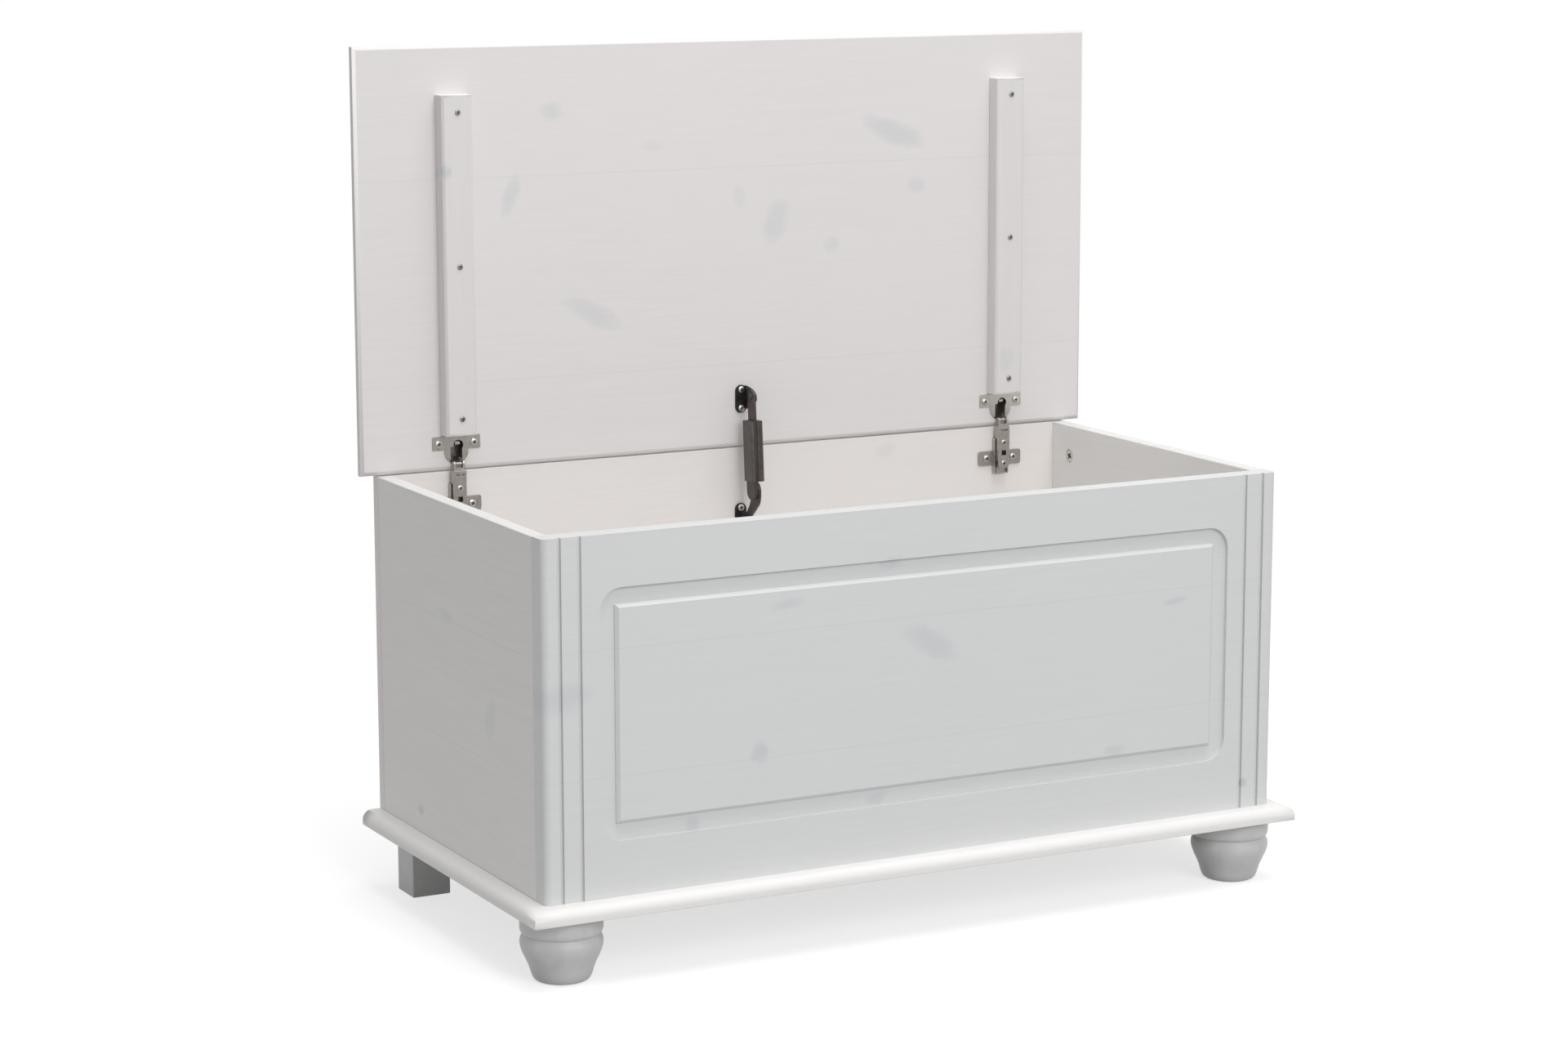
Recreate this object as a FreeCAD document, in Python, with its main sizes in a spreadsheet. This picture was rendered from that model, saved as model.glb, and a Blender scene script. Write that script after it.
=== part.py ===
import FreeCAD, Part
import math
import os
import re
import Sketcher

# Storage trunk of white-glazed boards, shown with its lid open.
# X runs along the front, Y from the front to the back, Z up. The origin is on the floor,
# under the middle of the trunk with its lid open. All lengths are millimetres.

doc = FreeCAD.newDocument("storage_trunk")

# Driving dimensions

SIZES = {
    # boards of the chest
    "box_width": 800,
    "box_height": 340,
    "box_depth": 408,
    "front_thickness": 22,
    "side_thickness": 15,
    "back_thickness": 12,
    "front_corner_round": 7,
    "base_thickness": 15,
    "base_side_overhang": 19,
    "base_front_overhang": 18,
    "base_edge_round": 10,
    # grooves and raised field of the front
    "groove_width": 3.8,
    "groove_depth": 3,
    "outer_groove_inset": 17,
    "inner_groove_inset": 37,
    "field_frame_inset": 57,
    "field_frame_bottom": 53,
    "field_frame_top": 50,
    "field_frame_radius": 22,
    "field_band_width": 16,
    "field_band_depth": 4.5,
    "field_bevel": 3,
    # lid
    "lid_side_overhang": 18,
    "lid_depth": 420,
    "lid_thickness": 16,
    "lid_edge_round": 9,
    "lid_underside_bevel": 3,
    "lid_closed_gap": 1,
    "lid_open_gap": 2.5,
    "lid_open_inset": 1.6,
    "batten_width": 33,
    "batten_thickness": 18,
    "batten_start": 34.5,
    "batten_length": 337.5,
    "batten_edge_bevel": 2.5,
    "batten_screw_low_end": 17.5,
    "batten_screw_top_end": 17,
    # feet
    "foot_height": 64,
    "bun_collar_radius": 38.5,
    "bun_neck_radius": 36.2,
    "bun_bulge_radius": 39,
    "bun_waist_radius": 30.5,
    "bun_ankle_radius": 27.5,
    "bun_sole_radius": 22,
    "bun_collar_bottom": 48,
    "bun_neck_height": 45.5,
    "bun_bulge_top": 42,
    "bun_bulge_bottom": 34,
    "bun_waist_height": 14,
    "bun_ankle_height": 4,
    "bun_bulge_round": 5,
    "bun_waist_round": 20,
    "foot_side_inset": 47,
    "bun_front_inset": 47,
    "block_foot_width": 40,
    "block_foot_rear_inset": 25,
    # concealed hinges
    "hinge_inset": 83.5,
    "cup_radius": 13,
    "cup_hollow_radius": 12,
    "cup_depth": 11.5,
    "cup_floor": 1,
    "cup_centre": 17.5,
    "cup_notch_height": 2.2,
    "cup_notch_depth": 3,
    "cup_flange_width": 52,
    "cup_flange_start": 19,
    "cup_flange_height": 14,
    "cup_flange_thickness": 0.6,
    "cup_screw_half_spacing": 19,
    "cup_screw_line": 25.5,
    "plate_width": 53,
    "plate_height": 16,
    "plate_thickness": 2,
    "plate_drop": 34,
    "plate_screw_half_spacing": 16.5,
    "plate_spine_height": 39,
    "plate_spine_drop": 31.5,
    "plate_spine_thickness": 2,
    "plate_rail_thickness": 1.2,
    "plate_rail_depth": 6,
    "arm_width": 14,
    "arm_depth": 9,
    "arm_wall": 1.4,
    "arm_drop": 45,
    "arm_rise": 1,
    "arm_window": 4,
    "arm_window_drop": 27.5,
    "nose_width": 12,
    "nose_pin_forward": 7,
    "nose_pin_rise": 8,
    "nose_radius": 2.8,
    "hinge_pin_radius": 1,
    "hinge_link_width": 6,
    "hinge_link_half_height": 1.65,
    "link_slot_clearance": 0.6,
    "nose_slot_drop": 4,
    "hinge_link_reach": 10.6,
    "cup_pin_radius": 0.6,
    "cup_pin_offset": 5.6,
    "link_slot_start": 6,
    "adjusting_screw_drop": 16.5,
    "fixing_screw_drop": 39,
    "arm_screw_head_radius": 2.4,
    "arm_screw_head_top_radius": 1.68,
    "arm_screw_head_height": 0.9,
    # lid stay
    "stay_x": 2.5,
    "bracket_width": 13,
    "bracket_height": 29,
    "bracket_thickness": 2,
    "bracket_screw_spacing": 19.5,
    "upper_bracket_start": 34.3,
    "lower_bracket_drop": 58.5,
    "ear_thickness": 2,
    "ear_radius": 5.5,
    "lower_ear_radius": 4,
    "upper_pivot_start": 53,
    "upper_pivot_stand": 20.2,
    "lower_pivot_stand": 9,
    "lower_pivot_drop": 79,
    "knee_stand": 28.8,
    "knee_drop": 42.2,
    "stay_pin_radius": 2,
    "stay_arm_thickness": 2.4,
    "stay_arm_width": 15,
    "stay_arm_length": 64,
    "sleeve_width": 12,
    "sleeve_depth": 21,
    "sleeve_start": 24.5,
    "sleeve_length": 63,
    "sleeve_floor": 4,
    "sleeve_edge_round": 2.5,
    "sleeve_groove_inset": 2.5,
    "sleeve_groove_width": 3.2,
    "sleeve_groove_depth": 1,
    "sleeve_shift": 2.5,
    "lower_arm_thickness": 2.8,
    "lower_arm_width": 10,
    "lower_arm_eye_radius": 9.5,
    "lower_arm_bend_forward": 16,
    "lower_arm_bend_rise": 16,
    "knee_hole_radius": 3.6,
    "rivet_head_radius": 3.6,
    "knee_head_radius": 6,
    "rivet_head_height": 1.2,
    "rivet_gap": 0.15,
    "lower_ear_lift": 4,
    # screws, dowels and cam fittings
    "pan_head_radius": 3,
    "pan_head_top_radius": 1.8,
    "pan_head_height": 1.6,
    "screw_radius": 1.6,
    "screw_length": 9,
    "batten_screw_length": 26,
    "panel_screw_radius": 2.5,
    "panel_screw_length": 37,
    "panel_screw_head_radius": 4.5,
    "panel_screw_head_height": 3,
    "cam_radius": 7.5,
    "cam_depth": 11,
    "cam_inset": 34,
    "cam_rim_drop": 33,
    "cam_bottom_rise": 60,
    "cam_bolt_radius": 2.5,
    "cam_bolt_seat": 9,
    "dowel_radius": 4,
    "dowel_front_depth": 12,
    "dowel_side_depth": 18,
    "dowel_end_rise": 50,
    "foot_bolt_radius": 4,
    "foot_bolt_in_foot": 30,
    "foot_bolt_in_base": 11,
    "knuckle_thickness": 3,
    "knuckle_radius": 9,
    # clearances
    "pin_clearance": 0.05,
    "side_clearance": 0.4,
    "hole_clearance": 0.05,
}

sheet = doc.addObject("Spreadsheet::Sheet", "sizes")
for row, (alias, value) in enumerate(SIZES.items(), start=1):
    sheet.set("A%d" % row, alias)
    sheet.set("B%d" % row, str(value))
    sheet.setAlias("B%d" % row, alias)
doc.recompute()

# Places that follow from the driving dimensions

PLACES = {
    "back_inner": "box_depth - back_thickness",
    "lid_plane": "box_depth - back_thickness - lid_open_inset",
    "front_y": "(base_front_overhang - lid_plane - lid_thickness) / 2",
    "rear_y": "front_y + box_depth",
    "back_face_y": "front_y + back_inner",
    "front_face_y": "front_y + front_thickness",
    "base_top": "foot_height + base_thickness",
    "rim": "base_top + box_height",
    "base_width": "box_width + 2 * base_side_overhang",
    "base_depth": "box_depth + base_front_overhang",
    "base_y": "front_y - base_front_overhang",
    "lid_y": "front_y + lid_plane",
    "lid_width": "box_width + 2 * lid_side_overhang",
    "hinge_x": "box_width / 2 - hinge_inset",
    "lid_z": "rim + lid_open_gap",
    "pivot_y": "front_y + (lid_plane + box_depth + lid_open_gap - lid_closed_gap) / 2",
    "pivot_z": "rim + (lid_open_gap + box_depth - lid_plane + lid_closed_gap) / 2",
    "nose_y": "back_face_y - nose_pin_forward",
    "nose_z": "rim + nose_pin_rise",
    "pin_forward": "pivot_y - nose_y",
    "pin_rise": "nose_z - pivot_z",
    "pin_span": "sqrt(2 * (pin_forward ^ 2 + pin_rise ^ 2))",
    "cup_pin_y": "pivot_y + cup_pin_offset * (pin_rise - pin_forward) / pin_span",
    "cup_pin_z": "pivot_z + cup_pin_offset * (pin_rise + pin_forward) / pin_span",
    "link_angle": "atan2(cup_pin_z - nose_z; cup_pin_y - nose_y) / 1 deg",
    "cup_z": "lid_z + cup_centre",
    "upper_pivot_y": "lid_y - upper_pivot_stand",
    "upper_pivot_z": "lid_z + upper_pivot_start",
    "knee_y": "back_face_y - knee_stand",
    "knee_z": "rim - knee_drop",
    "stay_link": "sqrt((knee_y - upper_pivot_y) ^ 2 + (upper_pivot_z - knee_z) ^ 2)",
    "stay_lean": "atan2(knee_y - upper_pivot_y; upper_pivot_z - knee_z) / 1 deg",
    "lower_pivot_y": "back_face_y - lower_pivot_stand",
    "lower_pivot_z": "rim - lower_pivot_drop",
    "bend_y": "lower_pivot_y - lower_arm_bend_forward",
    "bend_z": "lower_pivot_z + lower_arm_bend_rise",
    "lower_arm_half_width": "lower_arm_width / 2",
    "sleeve_x": "stay_x + sleeve_shift",
    "upper_ear_x": "sleeve_x + stay_arm_thickness / 2 + side_clearance",
    "lower_arm_x": "sleeve_x + (knuckle_thickness - lower_arm_thickness) / 2",
    "lower_ear_x": "lower_arm_x - side_clearance - ear_thickness",
    "foot_x": "base_width / 2 - foot_side_inset",
    "bun_y": "base_y + bun_front_inset",
    "block_y": "rear_y - block_foot_rear_inset - block_foot_width",
}

places = doc.addObject("App::VarSet", "places")


def bound(text):
    """Turns the plain names in an expression into references to the sheet and to the places."""
    def name(match):
        word = match.group(0)
        if word in SIZES:
            return "sizes." + word
        return "places." + word if word in PLACES else word
    return re.sub(r"[a-z_]+", name, str(text))


for alias, text in PLACES.items():
    places.addProperty("App::PropertyFloat", alias, "Places", text)
    places.setExpression(alias, bound(text))
doc.recompute()


def size(alias):
    """The number behind a driving dimension or a place."""
    return float(sheet.get(alias)) if alias in SIZES else float(getattr(places, alias))


# Helpers

UPRIGHT = FreeCAD.Rotation(FreeCAD.Vector(1, 0, 0), 90)
FACING_BACK = FreeCAD.Rotation(FreeCAD.Vector(1, 0, 0), -90)
FACING_RIGHT = FreeCAD.Rotation(FreeCAD.Vector(0, 1, 0), 90)
SIDEWAYS = FreeCAD.Rotation(FreeCAD.Vector(1, 1, 1), 120)
FLAT = FreeCAD.Rotation()
NODES = []


def node(thing, label):
    """Names a finished sub-part, which is written to the file of that name."""
    thing.Label = label
    NODES.append(thing)
    return thing


def put(thing, x=0, y=0, z=0, rotation=FLAT):
    """Places an object at expressions for its three coordinates."""
    thing.Placement = FreeCAD.Placement(FreeCAD.Vector(), rotation)
    for axis, text in zip("xyz", (x, y, z)):
        thing.setExpression("Placement.Base." + axis, bound(text))
    return thing


def block(width, depth, height, x, y, z):
    """A box from its low corner."""
    box = doc.addObject("Part::Box", "block")
    for prop, text in (("Length", width), ("Width", depth), ("Height", height)):
        box.setExpression(prop, bound(text))
    return put(box, x, y, z)


def rod(radius, length, x, y, z, rotation=FLAT):
    """A cylinder from the middle of its starting face."""
    cylinder = doc.addObject("Part::Cylinder", "rod")
    cylinder.setExpression("Radius", bound(radius))
    cylinder.setExpression("Height", bound(length))
    return put(cylinder, x, y, z, rotation)


def cone(start_radius, end_radius, length, x, y, z, rotation=FLAT):
    """A cone from the middle of its starting face."""
    taper = doc.addObject("Part::Cone", "taper")
    for prop, text in (("Radius1", start_radius), ("Radius2", end_radius), ("Height", length)):
        taper.setExpression(prop, bound(text))
    return put(taper, x, y, z, rotation)


def fused(*shapes):
    """Several shapes made into one."""
    if len(shapes) == 1:
        return shapes[0]
    fuse = doc.addObject("Part::MultiFuse", "fuse")
    fuse.Shapes = list(shapes)
    fuse.Refine = True
    return fuse


def cut(base, *tools):
    """A shape with others cut away."""
    difference = doc.addObject("Part::Cut", "cut")
    difference.Base = base
    difference.Tool = fused(*tools)
    return difference


def together(shapes):
    """Separate solids kept in one node."""
    group = doc.addObject("Part::Compound", "group")
    group.Links = list(shapes)
    return group


def new_body(label):
    """A body for a sub-part that is drawn in sketches."""
    return node(doc.addObject("PartDesign::Body", label), label)


def sketch_on(body, plane="XY_Plane", offset="0"):
    """A sketch on one of the body's own planes, lifted by an expression."""
    sketch = body.newObject("Sketcher::SketchObject", "outline")
    face = [f for f in body.Origin.OriginFeatures if f.Role == plane][0]
    sketch.AttachmentSupport = [(face, "")]
    sketch.MapMode = "FlatFace"
    sketch.setExpression("AttachmentOffset.Base.z", bound(offset))
    return sketch


def pin_down(sketch, line, point, x, y):
    """Ties a point of the sketch to expressions for its two distances from the sketch's axes."""
    for kind, text in (("DistanceX", x), ("DistanceY", y)):
        if str(text) == "0":
            axis = -2 if kind == "DistanceX" else -1
            sketch.addConstraint(Sketcher.Constraint("PointOnObject", line, point, axis))
            continue
        index = sketch.addConstraint(Sketcher.Constraint(kind, -1, 1, line, point, 1.0))
        sketch.setExpression("Constraints[%d]" % index, bound(text))


def polygon(sketch, points, numbers):
    """A closed outline through corners given as expressions, drawn first at their numbers."""
    first = sketch.GeometryCount
    count = len(points)
    for k in range(count):
        start, end = numbers[k], numbers[(k + 1) % count]
        sketch.addGeometry(Part.LineSegment(FreeCAD.Vector(*start, 0), FreeCAD.Vector(*end, 0)))
    for k in range(count):
        sketch.addConstraint(Sketcher.Constraint("Coincident", first + k, 2, first + (k + 1) % count, 1))
    for k, (x, y) in enumerate(points):
        pin_down(sketch, first + k, 1, x, y)


def rectangle(sketch, x, y, width, height):
    """A rectangle from its low corner, in expressions."""
    right = "(%s) + (%s)" % (x, width) if str(x) != "0" else width
    top = "(%s) + (%s)" % (y, height) if str(y) != "0" else height
    polygon(sketch, [(x, y), (right, y), (right, top), (x, top)], [(1, 1), (9, 1), (9, 5), (1, 5)])


def circle(sketch, x, y, radius):
    """A circle by its middle and its radius, in expressions."""
    index = sketch.addGeometry(Part.Circle(FreeCAD.Vector(5, 5, 0), FreeCAD.Vector(0, 0, 1), 2))
    pin_down(sketch, index, 3, x, y)
    constraint = sketch.addConstraint(Sketcher.Constraint("Radius", index, 2.0))
    sketch.setExpression("Constraints[%d]" % constraint, bound(radius))


def pad(body, sketch, length):
    """Raises a sketch into a solid."""
    feature = body.newObject("PartDesign::Pad", "pad")
    feature.Profile = sketch
    feature.setExpression("Length", bound(length))
    doc.recompute()
    return feature


def pocket(body, sketch, depth, reverse=False):
    """Cuts a sketch into the solid, and checks that it took something away."""
    before = body.Shape.Volume
    feature = body.newObject("PartDesign::Pocket", "pocket")
    feature.Profile = sketch
    feature.Reversed = reverse
    feature.setExpression("Length", bound(depth))
    doc.recompute()
    if body.Shape.Volume > before - 0.01:
        raise RuntimeError("a pocket of %s cuts nothing" % body.Label)
    return feature


def edges_of(shape, chosen):
    """Names of the edges whose bounding box passes a test."""
    return ["Edge%d" % (k + 1) for k, edge in enumerate(shape.Edges) if chosen(edge.BoundBox)]


def dress(body, kind, chosen, amount):
    """Rounds or bevels the chosen edges of the body's last feature."""
    tip = body.Tip
    names = edges_of(tip.Shape, chosen)
    if not names:
        raise RuntimeError("no edge to dress on %s" % body.Label)
    feature = body.newObject("PartDesign::" + kind, kind.lower())
    feature.Base = (tip, names)
    feature.setExpression("Radius" if kind == "Fillet" else "Size", bound(amount))
    doc.recompute()
    return feature


def near(value, target):
    """Whether two lengths agree."""
    return abs(value - target) < 0.01


def flat_at(box, level):
    """Whether an edge lies level at a height of its body's own frame."""
    return near(box.ZMin, level) and near(box.ZMax, level)


def standing(box, x, y, low, high):
    """Whether an edge stands upright in its body's own frame, between two levels."""
    return near(box.XMin, x) and near(box.YMin, y) and near(box.ZMin, low) and near(box.ZMax, high)


# Where the repeated holes, screws and fittings are

SIDE_LENGTH = "box_depth - front_thickness - back_thickness"
PANEL_SCREW_GRIP = "panel_screw_length + panel_screw_head_height - base_thickness"
SIDE_SCREW_X = "(box_width - side_thickness) / 2"
SIDE_SCREW_Y = "front_y + box_depth / 2"
FRONT_SCREW_X = ["%d * box_width / 3" % k for k in (-1, 0, 1)]
PANEL_SCREWS = [(x, "front_y + front_thickness / 2") for x in FRONT_SCREW_X]
PANEL_SCREWS += [("%d * %s" % (side, SIDE_SCREW_X), SIDE_SCREW_Y) for side in (-1, 1)]
FOOT_BOLTS = [("%d * foot_x" % side, y) for side in (-1, 1)
              for y in ("bun_y", "block_y + block_foot_width / 2")]
CAM_RISES = ["cam_bottom_rise", "box_height - cam_rim_drop"]
DOWEL_RISES = ["dowel_end_rise", "box_height / 2", "box_height - dowel_end_rise"]
BATTEN_SCREWS = ["batten_start + batten_screw_low_end",
                 "batten_start + (batten_length + batten_screw_low_end - batten_screw_top_end) / 2",
                 "batten_start + batten_length - batten_screw_top_end"]
UPPER_SCREWS = ["upper_bracket_start + (bracket_height %s bracket_screw_spacing) / 2" % sign
                for sign in "-+"]
LOWER_SCREW_DROPS = ["lower_bracket_drop + (bracket_height %s bracket_screw_spacing) / 2" % sign
                     for sign in "-+"]
ARM_SCREW_DROPS = ["adjusting_screw_drop", "fixing_screw_drop"]


# Front panel, drawn lying on its inner face

def front_panel():
    width, thickness = size("box_width"), size("front_thickness")
    body = new_body("front_panel")
    outline = sketch_on(body)
    rectangle(outline, 0, 0, "box_width", "box_height")
    pad(body, outline, "front_thickness")
    face_side = lambda b: (flat_at(b, thickness) and b.YLength > 1
                           and (near(b.XMin, 0) or near(b.XMin, width)))
    dress(body, "Fillet", face_side, "front_corner_round")
    grooves = sketch_on(body, offset="front_thickness")
    for inset in ("outer_groove_inset", "inner_groove_inset"):
        rectangle(grooves, inset + " - groove_width / 2", 0, "groove_width", "box_height")
        far = "box_width - %s - groove_width / 2" % inset
        rectangle(grooves, far, 0, "groove_width", "box_height")
    pocket(body, grooves, "groove_depth")
    band = sketch_on(body, offset="front_thickness")
    rectangle(band, "field_frame_inset", "field_frame_bottom", "box_width - 2 * field_frame_inset",
              "box_height - field_frame_bottom - field_frame_top")
    inset = "field_frame_inset + field_band_width"
    rise = "field_frame_bottom + field_band_width"
    rectangle(band, inset, rise, "box_width - 2 * (%s)" % inset,
              "box_height - field_frame_bottom - field_frame_top - 2 * field_band_width")
    pocket(body, band, "field_band_depth")
    floor = thickness - size("field_band_depth")
    left, low = size("field_frame_inset"), size("field_frame_bottom")
    high = size("box_height") - size("field_frame_top")
    at_frame = lambda b: any(standing(b, x, y, floor, thickness)
                             for x in (left, width - left) for y in (low, high))
    dress(body, "Fillet", at_frame, "field_frame_radius")
    inner = left + size("field_band_width")
    on_field = lambda b: (flat_at(b, thickness) and b.XMin > inner - 0.1 and b.XMax < width - inner + 0.1
                          and b.YMin > low + 1 and b.YMax < high - 1)
    dress(body, "Chamfer", on_field, "field_bevel")
    dowels = sketch_on(body)
    for rise in DOWEL_RISES:
        circle(dowels, "side_thickness / 2", rise, "dowel_radius + hole_clearance")
        circle(dowels, "box_width - side_thickness / 2", rise, "dowel_radius + hole_clearance")
    pocket(body, dowels, "dowel_front_depth", reverse=True)
    lower_edge = sketch_on(body, "XZ_Plane")
    for x in FRONT_SCREW_X:
        circle(lower_edge, "box_width / 2 + (%s)" % x, "front_thickness / 2",
               "panel_screw_radius + hole_clearance")
    pocket(body, lower_edge, PANEL_SCREW_GRIP)
    put(body, "-box_width / 2", "front_face_y", "base_top", UPRIGHT)


def side_panel(label, x):
    """A side board between the front and the back, with seats for its cam fittings."""
    body = new_body(label)
    outline = sketch_on(body)
    rectangle(outline, 0, 0, SIDE_LENGTH, "box_height")
    pad(body, outline, "side_thickness")
    left = label.startswith("left")
    middle = "side_thickness / 2"
    seats = sketch_on(body, offset="side_thickness" if left else "0")
    for rise in CAM_RISES:
        circle(seats, SIDE_LENGTH + " - cam_inset", rise, "cam_radius + hole_clearance")
    pocket(body, seats, "cam_depth", reverse=not left)
    rear_edge = sketch_on(body, "YZ_Plane", SIDE_LENGTH)
    for rise in CAM_RISES:
        circle(rear_edge, rise, middle, "cam_bolt_radius + hole_clearance")
    pocket(body, rear_edge, "cam_inset - cam_radius")
    front_edge = sketch_on(body, "YZ_Plane")
    for rise in DOWEL_RISES:
        circle(front_edge, rise, middle, "dowel_radius + hole_clearance")
    pocket(body, front_edge, "dowel_side_depth", reverse=True)
    lower_edge = sketch_on(body, "XZ_Plane")
    circle(lower_edge, "(%s) - front_face_y" % SIDE_SCREW_Y, middle, "panel_screw_radius + hole_clearance")
    pocket(body, lower_edge, PANEL_SCREW_GRIP)
    put(body, x, "front_face_y", "base_top", SIDEWAYS)
    return body


def back_panel():
    body = new_body("back_panel")
    outline = sketch_on(body)
    rectangle(outline, 0, 0, "box_width", "box_height")
    pad(body, outline, "back_thickness")
    holes = sketch_on(body, offset="back_thickness")
    for side in (-1, 1):
        for shift in (-1, 1):
            circle(holes, "box_width / 2 + %d * hinge_x + %d * plate_screw_half_spacing" % (side, shift),
                   "box_height - plate_drop", "screw_radius + hole_clearance")
    for drop in LOWER_SCREW_DROPS:
        circle(holes, "box_width / 2 + stay_x", "box_height - (%s)" % drop, "screw_radius + hole_clearance")
    pocket(body, holes, "screw_length")
    seats = sketch_on(body, offset="back_thickness")
    for rise in CAM_RISES:
        circle(seats, "side_thickness / 2", rise, "cam_bolt_radius + hole_clearance")
        circle(seats, "box_width - side_thickness / 2", rise, "cam_bolt_radius + hole_clearance")
    pocket(body, seats, "cam_bolt_seat")
    put(body, "-box_width / 2", "rear_y", "base_top", UPRIGHT)


def base_board():
    body = new_body("base_board")
    outline = sketch_on(body)
    rectangle(outline, 0, 0, "base_width", "base_depth")
    pad(body, outline, "base_thickness")
    holes = sketch_on(body, offset="base_thickness")
    for x, y in PANEL_SCREWS:
        circle(holes, "base_width / 2 + (%s)" % x, "(%s) - base_y" % y,
               "panel_screw_radius + hole_clearance")
    pocket(body, holes, "base_thickness")
    heads = sketch_on(body)
    for x, y in PANEL_SCREWS:
        circle(heads, "base_width / 2 + (%s)" % x, "(%s) - base_y" % y,
               "panel_screw_head_radius + hole_clearance")
    pocket(body, heads, "panel_screw_head_height", reverse=True)
    bolts = sketch_on(body)
    for x, y in FOOT_BOLTS:
        circle(bolts, "base_width / 2 + (%s)" % x, "(%s) - base_y" % y,
               "foot_bolt_radius + hole_clearance")
    pocket(body, bolts, "foot_bolt_in_base", reverse=True)
    depth = size("base_depth")
    rounded = lambda b: (flat_at(b, size("base_thickness")) and max(b.XLength, b.YLength) > 100
                         and b.YMin < depth - 1)
    dress(body, "Fillet", rounded, "base_edge_round")
    put(body, "-base_width / 2", "base_y", "foot_height")


# Feet

def bun_foot(label, side):
    """A turned foot: collar, narrow neck, bulge and a taper to the sole."""
    body = new_body(label)
    outline = sketch_on(body, "XZ_Plane")
    points = [("0", "0"), ("bun_sole_radius", "0"), ("bun_ankle_radius", "bun_ankle_height"),
              ("bun_waist_radius", "bun_waist_height"), ("bun_bulge_radius", "bun_bulge_bottom"),
              ("bun_bulge_radius", "bun_bulge_top"), ("bun_neck_radius", "bun_neck_height"),
              ("bun_collar_radius", "bun_collar_bottom"), ("bun_collar_radius", "foot_height"),
              ("0", "foot_height")]
    number = lambda text: 0.0 if text == "0" else size(text)
    polygon(outline, points, [(number(x), number(y)) for x, y in points])
    turned = body.newObject("PartDesign::Revolution", "turned")
    turned.Profile = outline
    turned.ReferenceAxis = (outline, ["V_Axis"])
    turned.Angle = 360
    doc.recompute()
    bulge, waist = size("bun_bulge_bottom"), size("bun_waist_height")
    dress(body, "Fillet", lambda b: flat_at(b, bulge), "bun_bulge_round")
    dress(body, "Fillet", lambda b: flat_at(b, waist), "bun_waist_round")
    seat = sketch_on(body, offset="foot_height")
    seat.addGeometry(Part.Circle(FreeCAD.Vector(), FreeCAD.Vector(0, 0, 1), 2))
    seat.addConstraint(Sketcher.Constraint("Coincident", 0, 3, -1, 1))
    index = seat.addConstraint(Sketcher.Constraint("Radius", 0, 2.0))
    seat.setExpression("Constraints[%d]" % index, bound("foot_bolt_radius + hole_clearance"))
    pocket(body, seat, "foot_bolt_in_foot")
    put(body, "%d * foot_x" % side, "bun_y", "0")


def block_foot(label, side):
    foot = block("block_foot_width", "block_foot_width", "foot_height",
                 "%d * foot_x - block_foot_width / 2" % side, "block_y", "0")
    seat = rod("foot_bolt_radius + hole_clearance", "foot_bolt_in_foot", "%d * foot_x" % side,
               "block_y + block_foot_width / 2", "foot_height - foot_bolt_in_foot")
    node(cut(foot, seat), label)


# Lid, drawn lying on its outer face

def lid_panel():
    body = new_body("lid_panel")
    outline = sketch_on(body)
    rectangle(outline, 0, 0, "lid_width", "lid_depth")
    pad(body, outline, "lid_thickness")
    thickness = size("lid_thickness")
    dress(body, "Fillet", lambda b: flat_at(b, 0), "lid_edge_round")
    dress(body, "Chamfer", lambda b: flat_at(b, thickness), "lid_underside_bevel")
    cups = sketch_on(body, offset="lid_thickness")
    for side in (-1, 1):
        circle(cups, "lid_width / 2 + %d * hinge_x" % side, "cup_centre", "cup_radius + hole_clearance")
    pocket(body, cups, "cup_depth")
    holes = sketch_on(body, offset="lid_thickness")
    for side in (-1, 1):
        for shift in (-1, 1):
            circle(holes, "lid_width / 2 + %d * hinge_x + %d * cup_screw_half_spacing" % (side, shift),
                   "cup_screw_line", "screw_radius + hole_clearance")
        for along in BATTEN_SCREWS:
            circle(holes, "lid_width / 2 + %d * hinge_x" % side, along, "screw_radius + hole_clearance")
    for along in UPPER_SCREWS:
        circle(holes, "lid_width / 2 + stay_x", along, "screw_radius + hole_clearance")
    pocket(body, holes, "screw_length")
    put(body, "-lid_width / 2", "lid_y + lid_thickness", "lid_z", UPRIGHT)


def batten(label, side):
    body = new_body(label)
    outline = sketch_on(body)
    rectangle(outline, 0, 0, "batten_width", "batten_length")
    pad(body, outline, "batten_thickness")
    thickness = size("batten_thickness")
    dress(body, "Chamfer", lambda b: flat_at(b, thickness), "batten_edge_bevel")
    holes = sketch_on(body, offset="batten_thickness")
    for along in BATTEN_SCREWS:
        circle(holes, "batten_width / 2", "(%s) - batten_start" % along, "screw_radius + hole_clearance")
    pocket(body, holes, "batten_thickness")
    put(body, "%d * hinge_x - batten_width / 2" % side, "lid_y", "lid_z + batten_start", UPRIGHT)


# Hinges

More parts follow.
